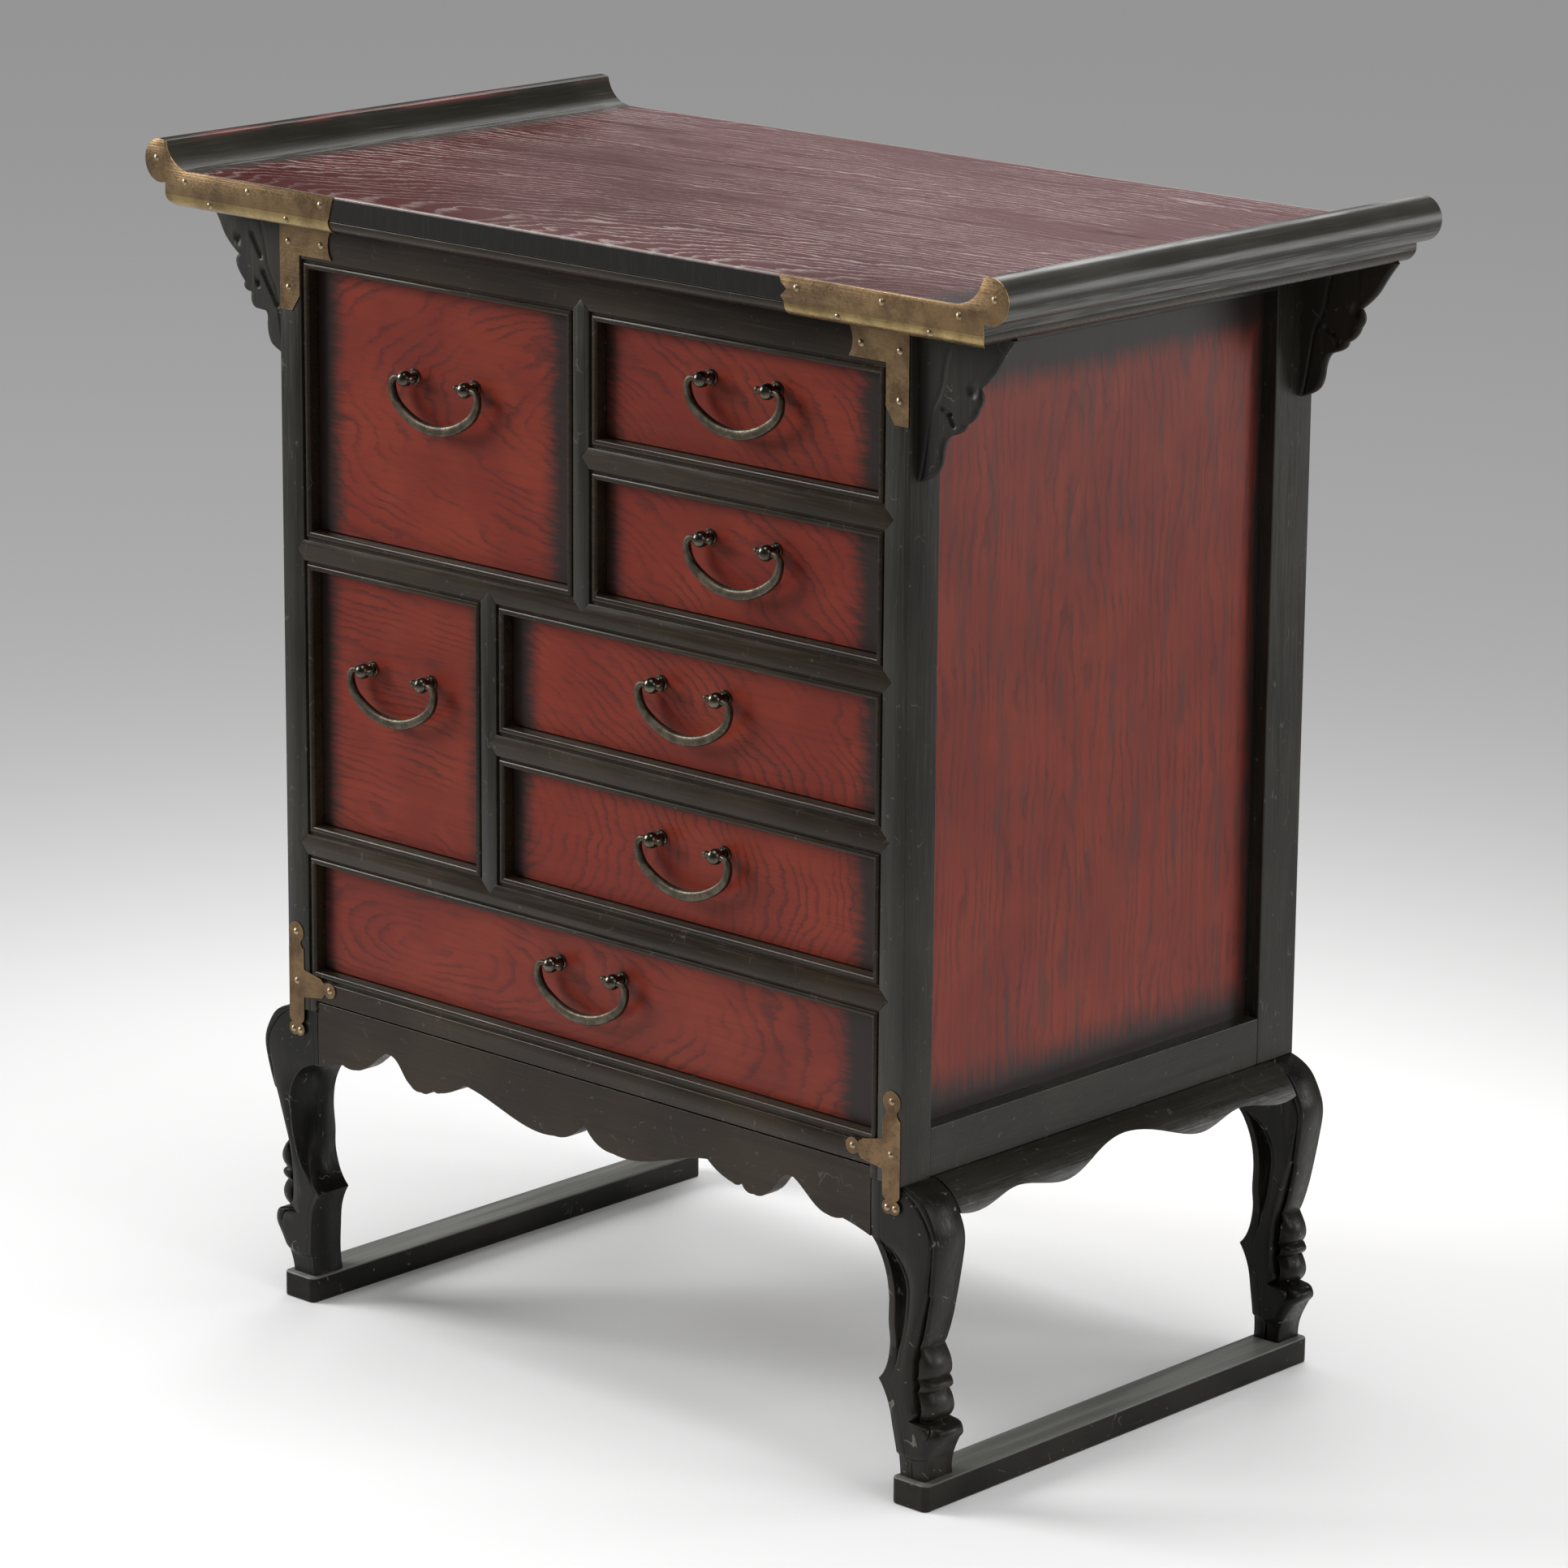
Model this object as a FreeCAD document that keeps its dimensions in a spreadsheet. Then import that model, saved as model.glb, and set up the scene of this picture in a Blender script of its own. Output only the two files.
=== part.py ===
import FreeCAD, Part
import math
import os

import Sketcher
from FreeCAD import Placement, Rotation, Vector

# Small chest of seven drawers with upturned roll ends on its top, carved brackets under the overhang
# and carved leg planks that stand on two floor runners.
# Millimetres, +Z up, the front looks along -Y. The origin is on the floor, under the middle of the chest.

doc = FreeCAD.newDocument("chest_of_drawers")
dims = doc.addObject("Spreadsheet::Sheet", "dims")

DRIVING_DIMENSIONS = {
    "case_width": 620,
    "case_depth": 434,
    "case_bottom": 238,
    "case_top": 841,
    "apron_line": 246,
    "member": 29.5,
    "member_depth": 30,
    "rear_post_depth": 42,
    "top_rail_height": 36.5,
    "opening_height": 83.2,
    "upper_stile": 0,
    "lower_stile": -94,
    "groove_near": 5,
    "groove_far": 7,
    "groove_depth": 1.5,
    "side_rail_top": 274,
    "side_panel_top": 815,
    "panel_recess": 13,
    "panel_thick": 9,
    "back_rail_depth": 30,
    "back_panel_front": 414,
    "dust_board_thick": 10,
    "partition_thick": 14,
    "guide_height": 20,
    "guide_clearance": 0.5,
    "drawer_recess": 10,
    "drawer_gap": 0.8,
    "drawer_front_thick": 18,
    "drawer_length": 385,
    "drawer_side_thick": 9,
    "drawer_bottom_thick": 5,
    "drawer_side_gap": 1.5,
    "drawer_rise": 0.4,
    "drawer_top_drop": 8,
    "eye_low": 57,
    "eye_tall": 129,
    "eye_forward": 10,
    "post_spacing": 62,
    "post_ball": 6,
    "post_shank": 2.2,
    "post_hole": 2.3,
    "pin_radius": 2,
    "pin_hole": 2.06,
    "pin_inner": 22,
    "tip_radius": 2.5,
    "bail_radius": 3.3,
    "bail_half_width": 44,
    "bail_elbow": 5.5,
    "bail_corner": 20,
    "bail_drop": 34,
    "nut_side": 8,
    "nut_thick": 3,
    "top_thick": 18.5,
    "moulding_thick": 9,
    "moulding_width": 38,
    "moulding_lap": 10,
    "front_overhang": 30,
    "end_overhang": 111,
    "end_board_reach": 89.5,
    "roll_radius": 16.3,
    "roll_rise": 5.2,
    "roll_width": 45,
    "roll_crest": 1.5,
    "roll_cove": 7,
    "roll_cove_rise": 1.5,
    "bracket_thick": 8,
    "bracket_setback": 7,
    "apron_thick": 15.5,
    "apron_setback": 1.5,
    "side_apron_thick": 13,
    "side_apron_front": 34,
    "leg_plank": 46,
    "leg_thick": 32,
    "rear_leg_thick": 27,
    "runner_width": 33,
    "runner_height": 20,
    "runner_inset": 13.4,
    "runner_front": 8,
    "runner_overhang": 4,
    "runner_corner": 5,
    "plate_thick": 0.8,
    "nail_radius": 2.6,
    "nail_height": 1.4,
}

for row, (alias, size) in enumerate(DRIVING_DIMENSIONS.items(), start=1):
    dims.set(f"A{row}", alias)
    dims.set(f"B{row}", str(size))
    dims.setAlias(f"B{row}", alias)
doc.recompute()

# Places that many pieces share, as expressions on the sheet.
HALF = "dims.case_width / 2"
INNER = "(dims.case_width / 2 - dims.member)"
FRONT = (
    "-(dims.case_depth + dims.runner_overhang - dims.front_overhang"
    " - dims.plate_thick - dims.nail_height) / 2"
)
REAR_LEG = "dims.case_depth - dims.rear_leg_thick"
REAR_POST = "dims.case_depth - dims.rear_post_depth"
BACK_RAIL = "dims.case_depth - dims.back_rail_depth"
MOULDING_TOP = "dims.case_top + dims.moulding_thick"
SURFACE = f"({MOULDING_TOP} + dims.top_thick)"
TOP_DEPTH = "dims.case_depth + dims.front_overhang"

nodes = []


def number(expression):
    return float(dims.evalExpression(expression))


def deep(expression):
    """A place measured back from the front of the case."""
    return f"{FRONT} + ({expression})"


def node(piece):
    nodes.append(piece)
    return piece


def place(piece, x="0", y="0", z="0"):
    for axis, expression in (("x", x), ("y", y), ("z", z)):
        piece.setExpression(f"Placement.Base.{axis}", expression)
    return piece


def board(label, x, y, z):
    """A straight board between three pairs of limits, with y measured back from the front of the case."""
    box = doc.addObject("Part::Box", label)
    for size, (low, high) in (("Length", x), ("Width", y), ("Height", z)):
        box.setExpression(size, f"({high}) - ({low})")
    return place(box, x[0], deep(y[0]), z[0])


def cut(label, base, tool):
    piece = doc.addObject("Part::Cut", label)
    piece.Base = base
    piece.Tool = tool
    return piece


def fuse(label, pieces):
    piece = doc.addObject("Part::MultiFuse", label)
    piece.Shapes = pieces
    return piece


def group(label, pieces):
    piece = doc.addObject("Part::Compound", label)
    piece.Links = pieces
    return piece


def mirrored(label, source):
    """The right-hand twin of a left-hand piece."""
    piece = doc.addObject("Part::Mirroring", label)
    piece.Source = source
    piece.Normal = Vector(1, 0, 0)
    return piece


def outline(start, *steps):
    """Curves of a closed outline. A step is a point for a line to it, a list of two points for an arc
    through the first to the second, or a longer list for a smooth curve through all its points."""
    curves = []
    here = Vector(*start)
    for step in steps + (start,):
        points = [Vector(*point) for point in step] if isinstance(step, list) else [Vector(*step)]
        if points[-1].isEqual(here, 1e-7):
            continue
        if len(points) == 1:
            curves.append(Part.LineSegment(here, points[0]))
        elif len(points) == 2:
            curves.append(Part.Arc(here, *points))
        else:
            curve = Part.BSplineCurve()
            curve.interpolate([here] + points)
            curves.append(curve)
        here = points[-1]
    return curves


def sketch_in(body, role, curves, name):
    sketch = body.newObject("Sketcher::SketchObject", name)
    plane = next(feature for feature in body.Origin.OriginFeatures if feature.Role == role)
    sketch.AttachmentSupport = (plane, [""])
    sketch.MapMode = "FlatFace"
    for curve in curves:
        sketch.addGeometry(curve)
    return sketch


def padded(label, role, curves, length, backwards=False):
    """A body padded from one outline: XZ_Plane outlines run back along +Y, YZ_Plane outlines along +X."""
    body = doc.addObject("PartDesign::Body", label)
    profile = sketch_in(body, role, curves, f"{label}_outline")
    pad = body.newObject("PartDesign::Pad", f"{label}_pad")
    pad.Profile = profile
    pad.setExpression("Length", length)
    pad.Reversed = backwards
    return body


def plank(label, curves, thickness, y, x=f"-{HALF}"):
    """A plank sawn to an outline in the front view, with x measured from the left side of the case."""
    body = padded(label, "XZ_Plane", curves, thickness, backwards=True)
    return place(body, x, deep(y))


def pocket(body, role, curves, name):
    """Cuts outlines right through a body and makes sure that they removed something."""
    doc.recompute()
    before = body.Shape.Volume
    waste = sketch_in(body, role, curves, f"{name}_outline")
    hollow = body.newObject("PartDesign::Pocket", name)
    hollow.Profile = waste
    hollow.Type = "ThroughAll"
    hollow.SideType = "Symmetric"
    doc.recompute()
    if body.Shape.Volume >= before:
        raise RuntimeError(f"{name} cuts nothing")


def row_top(row):
    return f"dims.case_top - dims.top_rail_height - {row} * (dims.opening_height + dims.member)"


def row_bottom(row):
    return f"{row_top(row)} - dims.opening_height"


# The seven openings of the front: left and right edge, first and last row.
LEFT_OF = "dims.{}_stile - dims.member / 2"
RIGHT_OF = "dims.{}_stile + dims.member / 2"
OPENINGS = {
    1: (f"-{INNER}", LEFT_OF.format("upper"), 0, 1),
    2: (RIGHT_OF.format("upper"), INNER, 0, 0),
    3: (RIGHT_OF.format("upper"), INNER, 1, 1),
    4: (f"-{INNER}", LEFT_OF.format("lower"), 2, 3),
    5: (RIGHT_OF.format("lower"), INNER, 2, 2),
    6: (RIGHT_OF.format("lower"), INNER, 3, 3),
    7: (f"-{INNER}", INNER, 4, 4),
}


def groove_ring(number_of, left, right, first, last):
    """The quirk that sets off the bead around one opening."""
    rims = []
    for reach in ("groove_far", "groove_near"):
        rims.append(
            board(
                f"{reach}_{number_of}",
                (f"{left} - dims.{reach}", f"{right} + dims.{reach}"),
                ("-1", "dims.groove_depth"),
                (f"{row_bottom(last)} - dims.{reach}", f"{row_top(first)} + dims.{reach}"),
            )
        )
    return cut(f"groove_{number_of}", *rims)


def make_front_frame():
    grooves = group("grooves", [groove_ring(key, *opening) for key, opening in OPENINGS.items()])
    depth = ("0", "dims.member_depth")
    upright = ("dims.case_bottom", "dims.case_top")
    across = (f"-{INNER}", INNER)

    def beaded(label, x, z):
        return cut(label, board(f"{label}_blank", x, depth, z), grooves)

    def rail_under(row):
        return (row_top(row + 1), row_bottom(row))

    def stile(name, first, last):
        return beaded(
            f"{name}_stile_piece",
            (LEFT_OF.format(name), RIGHT_OF.format(name)),
            (row_bottom(last), row_top(first)),
        )

    node(beaded("post_front_left", (f"-{HALF}", f"-{INNER}"), upright))
    node(beaded("post_front_right", (INNER, HALF), upright))
    node(beaded("top_rail", across, (row_top(0), "dims.case_top")))
    node(beaded("mid_rail", across, rail_under(1)))
    node(beaded("lower_rail", across, rail_under(3)))
    node(beaded("bottom_rail", across, ("dims.apron_line", row_bottom(4))))
    short_rails = [
        beaded("upper_short_rail", (RIGHT_OF.format("upper"), INNER), rail_under(0)),
        beaded("lower_short_rail", (RIGHT_OF.format("lower"), INNER), rail_under(2)),
    ]
    node(group("short_rails", short_rails))
    node(group("stiles", [stile("upper", 0, 1), stile("lower", 2, 3)]))


def make_sides_and_back():
    between_posts = ("dims.member_depth", REAR_POST)
    sides = {"left": (f"-{HALF}", 1), "right": (HALF, -1)}
    posts = []
    rails = []
    panels = []
    for side, (edge, inward) in sides.items():

        def across(near, far):
            limits = (f"{edge} + {inward} * ({near})", f"{edge} + {inward} * ({far})")
            return limits if inward > 0 else limits[::-1]

        member = across("0", "dims.member")
        panel = across("dims.panel_recess", "dims.panel_recess + dims.panel_thick")
        upright = ("dims.case_bottom", "dims.case_top")
        posts.append(board(f"rear_post_{side}", member, (REAR_POST, "dims.case_depth"), upright))
        rails.append(
            board(f"side_rail_low_{side}", member, between_posts, ("dims.case_bottom", "dims.side_rail_top"))
        )
        rails.append(
            board(f"side_rail_high_{side}", member, between_posts, ("dims.side_panel_top", "dims.case_top"))
        )
        panels.append(
            board(f"side_panel_{side}", panel, between_posts, ("dims.side_rail_top", "dims.side_panel_top"))
        )
    node(group("rear_posts", posts))
    node(group("side_rails", rails))
    node(group("side_panels", panels))

    width = (f"-{INNER}", INNER)
    rail_depth = (BACK_RAIL, "dims.case_depth")
    back_rails = [
        board("back_rail_low", width, rail_depth, ("dims.apron_line", row_bottom(4))),
        board("back_rail_high", width, rail_depth, (row_top(0), "dims.case_top")),
    ]
    node(group("back_rails", back_rails))
    panel_depth = ("dims.back_panel_front", "dims.back_panel_front + dims.panel_thick")
    node(board("back_panel", width, panel_depth, (row_bottom(4), row_top(0))))


def make_drawer_supports():
    """Dust boards under the drawers, partitions behind the stiles and the strips that guide the drawers."""
    depth = ("dims.member_depth", "dims.back_panel_front")
    over_rail = ("dims.member_depth", BACK_RAIL)
    faces = {}
    for name in ("upper", "lower"):
        faces[name] = (
            f"dims.{name}_stile - dims.partition_thick / 2",
            f"dims.{name}_stile + dims.partition_thick / 2",
        )
    boards = []
    for row, left in ((0, faces["upper"][1]), (1, f"-{INNER}"), (2, faces["lower"][1]), (3, f"-{INNER}")):
        height = (f"{row_bottom(row)} - dims.dust_board_thick", row_bottom(row))
        boards.append(board(f"dust_board_{row}", (left, INNER), depth, height))
    height = (f"{row_bottom(4)} - dims.dust_board_thick", row_bottom(4))
    boards.append(board("dust_board_4", (f"-{INNER}", INNER), over_rail, height))
    node(group("dust_boards", boards))

    strips = [
        board("upper_partition", faces["upper"], depth, (row_bottom(1), row_top(0))),
        board(
            "lower_partition",
            faces["lower"],
            depth,
            (row_bottom(3), f"{row_bottom(1)} - dims.dust_board_thick"),
        ),
    ]

    panel_face = f"({HALF} - dims.panel_recess - dims.panel_thick)"
    along_panels = ("dims.member_depth", REAR_POST)
    for row in range(5):
        low = row_bottom(row) if row < 4 else "dims.side_rail_top"
        height = (low, f"{low} + dims.guide_height")
        strips.append(board(f"guide_right_{row}", (INNER, panel_face), along_panels, height))
        if row in (1, 3, 4):
            strips.append(board(f"guide_left_{row}", (f"-{panel_face}", f"-{INNER}"), along_panels, height))

    for name, rows in (("upper", (0, 1)), ("lower", (2, 3))):
        for row in rows:
            height = (row_bottom(row), f"{row_bottom(row)} + dims.guide_height")
            edge = f"{RIGHT_OF.format(name)} - dims.guide_clearance"
            strips.append(board(f"guide_{name}_{row}_right", (faces[name][1], edge), depth, height))
        edge = f"{LEFT_OF.format(name)} + dims.guide_clearance"
        strips.append(board(f"guide_{name}_left", (edge, faces[name][0]), depth, height))
    node(group("drawer_guides", strips))


def roll_end(outer):
    """Outline steps round a roll whose outer side is at x = outer: up its flange, over the crest and down the
    cove to the flat of the top."""
    surface = number(SURFACE)
    radius = number("dims.roll_radius")
    middle = surface + number("dims.roll_rise")
    flange = number("dims.end_overhang - dims.end_board_reach")
    crest = flange + number("dims.roll_crest")
    cove = crest + number("dims.roll_cove")

    def rise(across):
        return math.sqrt(radius**2 - (across - radius) ** 2)

    return (
        (outer + flange, number(MOULDING_TOP)),
        (outer + flange, middle - rise(flange)),
        [(outer, middle), (outer + crest, middle + rise(crest))],
        [
            (outer + cove, middle + number("dims.roll_cove_rise")),
            (outer + number("dims.roll_width"), surface),
        ],
    )


def make_top():
    half_panel = f"({HALF} + dims.end_overhang - dims.roll_width)"
    depth = ("-dims.front_overhang", "dims.case_depth")
    node(board("top_panel", (f"-{half_panel}", half_panel), depth, (MOULDING_TOP, SURFACE)))

    width = number("dims.roll_width")
    roll = outline((width, number(SURFACE)), (width, number(MOULDING_TOP)), *roll_end(0))
    outer_end = f"-({HALF} + dims.end_overhang)"
    left = node(plank("roll_left", roll, TOP_DEPTH, "-dims.front_overhang", outer_end))
    node(mirrored("roll_right", left))


def end_profile():
    """Start, middle and finish of the rounded lower edge of the boards under the roll ends."""
    reach = number("dims.end_board_reach")
    thick = number("dims.moulding_thick")
    low = number("dims.case_top")
    width = 1.4 * thick
    radius = (width**2 + thick**2) / (2 * thick)
    half_turn = math.asin(width / radius) / 2
    foot = -reach + width
    middle = (foot - radius * math.sin(half_turn), low + radius * (1 - math.cos(half_turn)))
    return (-reach, low + thick), middle, (foot, low)


def make_moulding():
    """The moulding between case and top: a quarter-round front length, two end boards and a back strip."""
    thick = number("dims.moulding_thick")
    width = number("dims.moulding_width")
    low = number("dims.case_top")
    high = low + thick
    shoulder = thick * (1 - math.sqrt(0.5))
    quarter = outline((0, high), [(shoulder, low + shoulder), (thick, low)], (width, low), (width, high))
    length = "(dims.case_width + 2 * dims.end_board_reach)"
    front = padded("moulding_front", "YZ_Plane", quarter, length)
    place(front, f"-{length} / 2", deep("-dims.front_overhang"))

    corner, middle, foot = end_profile()
    full = number(length)
    start = number("dims.end_board_reach")
    waste = []
    for flip in (1, -1):

        def along(point):
            from_end = point[0] + start
            return (from_end, point[1]) if flip > 0 else (full - from_end, point[1])

        beyond = corner[0] - 1
        waste += outline(
            along(corner), [along(middle), along(foot)], along((foot[0], low - 1)),
            along((beyond, low - 1)), along((beyond, high + 1)), along((corner[0], high + 1)),
        )
    pocket(front, "XZ_Plane", waste, "moulding_front_corners")

    lap = number("dims.moulding_lap")
    end = outline(corner, [middle, foot], (lap, low), (lap, high))
    front_width = "(dims.moulding_width - dims.front_overhang)"
    left = plank("moulding_left", end, f"dims.case_depth - {front_width}", front_width)
    right = mirrored("moulding_right", left)
    inside = f"({HALF} - dims.moulding_lap)"
    back = board(
        "moulding_back",
        (f"-{inside}", inside),
        (f"dims.case_depth - {front_width} - dims.member_depth", "dims.case_depth"),
        ("dims.case_top", MOULDING_TOP),
    )
    node(group("top_moulding", [front, left, right, back]))


def make_brackets():
    top = number("dims.case_top")
    leaf = outline(
        (0, top),
        (-84, top),
        [(-75, 829), (-67, 816), (-53, 804.5)],
        [(-56, 797), (-47, 785)],
        [(-47, 780), (-40, 778)],
        [(-39, 769), (-31, 766)],
        [(-24, 765), (-23, 757)],
        [(-20, 744), (-12, 738.5), (0, 734)],
    )
    places = {
        "front": "dims.bracket_setback",
        "rear": "dims.case_depth - dims.bracket_setback - dims.bracket_thick",
    }
    pieces = []
    for name, depth in places.items():
        left = plank(f"bracket_{name}_left", leaf, "dims.bracket_thick", depth)
        pieces += [left, mirrored(f"bracket_{name}_right", left)]
    node(group("brackets", pieces))


def make_aprons():
    inner = number(INNER)
    line = number("dims.apron_line")
    half = outline(
        (0, line),
        (0, 215),
        [(9, 204), (30, 197.3)],
        [(55, 197.4), (90, 207), (124, 215)],
        [(138, 206.5), (149, 203.2)],
        [(154, 202.7), (157.5, 205)],
        [(161, 200.6), (169, 199.4)],
        [(176, 199.6), (181, 202.6)],
        [(188, 209), (194, 216.5), (207, 221)],
        [(216, 215), (228, 205.5), (240, 201)],
        [(247, 200.4), (254, 202)],
        [(266, 199.4), (inner, 195)],
        (inner, line),
    )
    front = padded("apron_front", "XZ_Plane", half, "dims.apron_thick", backwards=True)
    place(front, y=deep("dims.apron_setback"))
    doc.recompute()
    whole = front.newObject("PartDesign::Mirrored", "apron_front_whole")
    whole.Originals = [front.Tip]
    whole.MirrorPlane = (next(f for f in front.Origin.OriginFeatures if f.Role == "YZ_Plane"), [""])
    front.Tip = whole
    node(front)

    back_edge = 205
    back_end = 197
    straight = outline(
        (-inner, line),
        (-inner, back_end),
        [(-inner + 40, back_edge - 4), (-inner + 90, back_edge), (0, back_edge + 5), (inner - 90, back_edge),
         (inner - 40, back_edge - 4), (inner, back_end)],
        (inner, line),
    )
    depth = "dims.case_depth - dims.apron_setback - dims.apron_thick"
    node(plank("apron_back", straight, "dims.apron_thick", depth, "0"))

    thick = number("dims.side_apron_thick")
    top = number("dims.case_bottom")
    foot = 196
    knee = outline(
        (0, top),
        [(-16, 231), (-24.4, 220), (-29.5, 205), (-29, foot)],
        (-29 + thick, foot),
        [(-29.5 + thick, 205), (-24.4 + 0.9 * thick, 214), (-16 + 0.8 * thick, 221), (thick, 226)],
        (thick, top),
    )
    gap = f"{REAR_LEG} - dims.side_apron_front"
    left = plank("side_apron_left", knee, gap, "dims.side_apron_front")
    long = number(gap)
    half_lobes = [(33, 225), (75, 214.5), (125, 221.5), (160, 215.5)]
    centre_peak = 230
    end_height = 217
    scallops = [(long / 2 - reach, height) for reach, height in half_lobes[::-1]]
    scallops += [(long / 2, centre_peak)]
    waste = outline(
        (-1, foot - 5),
        (-1, end_height),
        scallops,
        [(long - along, height) for along, height in scallops[-2::-1]] + [(long + 1, end_height)],
        (long + 1, foot - 5),
    )
    pocket(left, "YZ_Plane", waste, "side_apron_scallops")
    node(group("side_aprons", [left, mirrored("side_apron_right", left)]))


def leg_outline():
    """Front view of the left leg: a knee, a leaf of three lobes, a pointed toe and an inner spur."""
    top = number("dims.case_bottom")
    foot = number("dims.runner_height")
    inner = number("dims.member")
    return outline(
        (inner, top),
        (inner, 196),
        [(20.5, 186), (14, 172), (11.5, 155), (12.5, 136), (12, 120), (16, 103), (24, 91)],
        [(16, 75), (12.5, 55), (10, 36), (10, foot)],
        (-13.4, foot),
        [(-15, 33), (-23, 48), (-29.6, 61)],
        (-14.8, 70),
        [(-22, 81), (-18.2, 94)],
        [(-21.8, 98.5), (-18.5, 103)],
        [(-20.5, 114), (-13.4, 127)],
        [(-19.5, 147), (-27.4, 185), (-29.5, 205), (-24.4, 220), (-16, 231), (0, top)],
    )


def make_stand():
    curves = leg_outline()
    front = plank("leg_front_left", curves, "dims.leg_plank", "0")
    top = number("dims.case_bottom") + 1
    foot = number("dims.runner_height") - 1
    thick = number("dims.leg_thick")
    ahead = -1
    behind = number("dims.leg_plank") + 1
    face = [(1.5, top), (2, 190), (5, 96), (11.5, foot)]
    back = [(y + thick, z) for y, z in face]
    waste = outline((ahead, foot), (ahead, top), face[0], face[1:])
    waste += outline((behind, foot), (behind, top), back[0], back[1:])
    pocket(front, "YZ_Plane", waste, "leg_front_setback")
    node(front)
    node(mirrored("leg_front_right", front))
    rear = node(plank("leg_rear_left", curves, "dims.rear_leg_thick", REAR_LEG))
    node(mirrored("leg_rear_right", rear))

    right = number("dims.runner_inset")
    left = right - number("dims.runner_width")
    near = number("dims.runner_front")
    far = number("dims.case_depth + dims.runner_overhang")
    round_off = number("dims.runner_corner")
    slack = round_off * (1 - math.sqrt(0.5))
    rounded = outline(
        (left + round_off, near),
        (right - round_off, near),
        [(right - slack, near + slack), (right, near + round_off)],
        (right, far - round_off),
        [(right - slack, far - slack), (right - round_off, far)],
        (left + round_off, far),
        [(left + slack, far - slack), (left, far - round_off)],
        (left, near + round_off),
        [(left + slack, near + slack), (left + round_off, near)],
    )
    runner = padded("runner_left", "XY_Plane", rounded, "dims.runner_height")
    place(runner, f"-{HALF}", FRONT)
    node(group("runners", [runner, mirrored("runner_right", runner)]))


def make_plates():
    thick = number("dims.plate_thick")
    surface = number(SURFACE)
    lower = number(MOULDING_TOP)
    low = number("dims.case_top")
    inner_end = 85
    fascia = outline(
        (inner_end + 6, surface),
        [(inner_end + 1, surface - 9), (inner_end, lower)],
        *roll_end(-number("dims.end_overhang")),
    )
    face = plank("top_plate_face", fascia, "dims.plate_thick", "-dims.front_overhang - dims.plate_thick")
    bend = number("dims.moulding_thick")
    outside = bend + thick
    slant = math.sqrt(0.5)
    lip = outline(
        (-thick, lower),
        [(bend - outside * slant, lower - outside * slant), (bend, lower - outside)],
        (bend, low),
        [(bend - bend * slant, lower - bend * slant), (0, lower)],
    )
    foot = end_profile()[2][0] + 1
    edge = padded("top_plate_lip", "YZ_Plane", lip, f"{inner_end} - ({foot})")
    place(edge, f"-{HALF} + ({foot})", deep("-dims.front_overhang"))
    top_plate = fuse("top_plate_left", [face, edge])
    node(group("top_plates", [top_plate, mirrored("top_plate_right", top_plate)]))

    corner = outline(
        (1.5, 836), (56, 836), [(52.5, 825), (56, 814)], (22, 814), (22, 784), (13.5, 772), (1.5, 772),
    )
    leg = outline(
        (4.4, 291), [(9, 305.5), (13.6, 291)], [(14.4, 287.5), (17, 285)], (17.3, 269.5), (35.5, 265.6),
        (40.2, 261.9), [(51.1, 258.4), (40.2, 254.9)], (36.5, 250.8), (17, 248), (16.7, 232),
        [(15.8, 228.4), (12.8, 226.4)], [(16.2, 219.2), (8.7, 217.4)], [(1.2, 219.2), (4.6, 226.4)],
        [(1.7, 228.4), (1, 232)], (1, 285), [(3.6, 287.5), (4.4, 291)],
    )
    for label, shape in (("corner_plates", corner), ("leg_plates", leg)):
        left = plank(f"{label}_left", shape, "dims.plate_thick", "-dims.plate_thick")
        node(group(label, [left, mirrored(f"{label}_right", left)]))


def make_nails():
    """Dome nails that hold the plates, as x from the side of the case and height."""
    base = number("dims.nail_radius")
    height = number("dims.nail_height")
    ball = (base**2 + height**2) / (2 * height)
    sunk = ball - height
    lift = math.degrees(math.asin(sunk / ball))
    face_y = number(f"{FRONT} - dims.plate_thick")
    fascia_y = number(f"{FRONT} - dims.front_overhang - dims.plate_thick")
    half = number(HALF)
    face_nails = [
        (10, 823), (45, 824), (10, 789), (9, 298), (9.5, 259.5), (45.1, 258.4), (12.3, 220.8), (5, 220.8),
    ]
    fascia_nails = [(-98.5, 875.5), (-68, 861), (0, 861.5), (77, 861)]
    # The two lowest nails stand square to the rounded moulding.
    tilt = 26
    bend = number("dims.moulding_thick + dims.plate_thick")
    lean = math.radians(tilt)
    lip_y = fascia_y + bend - bend * math.cos(lean)
    lip_z = number(MOULDING_TOP) - bend * math.sin(lean)
    spots = [(x, face_y, z, 0) for x, z in face_nails]
    spots += [(x, fascia_y, z, 0) for x, z in fascia_nails]
    spots += [(x, lip_y, lip_z, tilt) for x in (-42, 40)]
    nails = []
    for index, (x, y, z, lean_degrees) in enumerate(spots):
        outward = Rotation(Vector(1, 0, 0), 90 + lean_degrees)
        inward = outward.multVec(Vector(0, 0, -sunk))
        for side in (-1, 1):
            nail = doc.addObject("Part::Sphere", f"nail_{index}_{'left' if side < 0 else 'right'}")
            nail.Radius = ball
            nail.Angle1 = lift
            nail.Placement = Placement(Vector(side * (half - x), y, z) + inward, outward)
            nails.append(nail)
    node(group("nails", nails))


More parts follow.
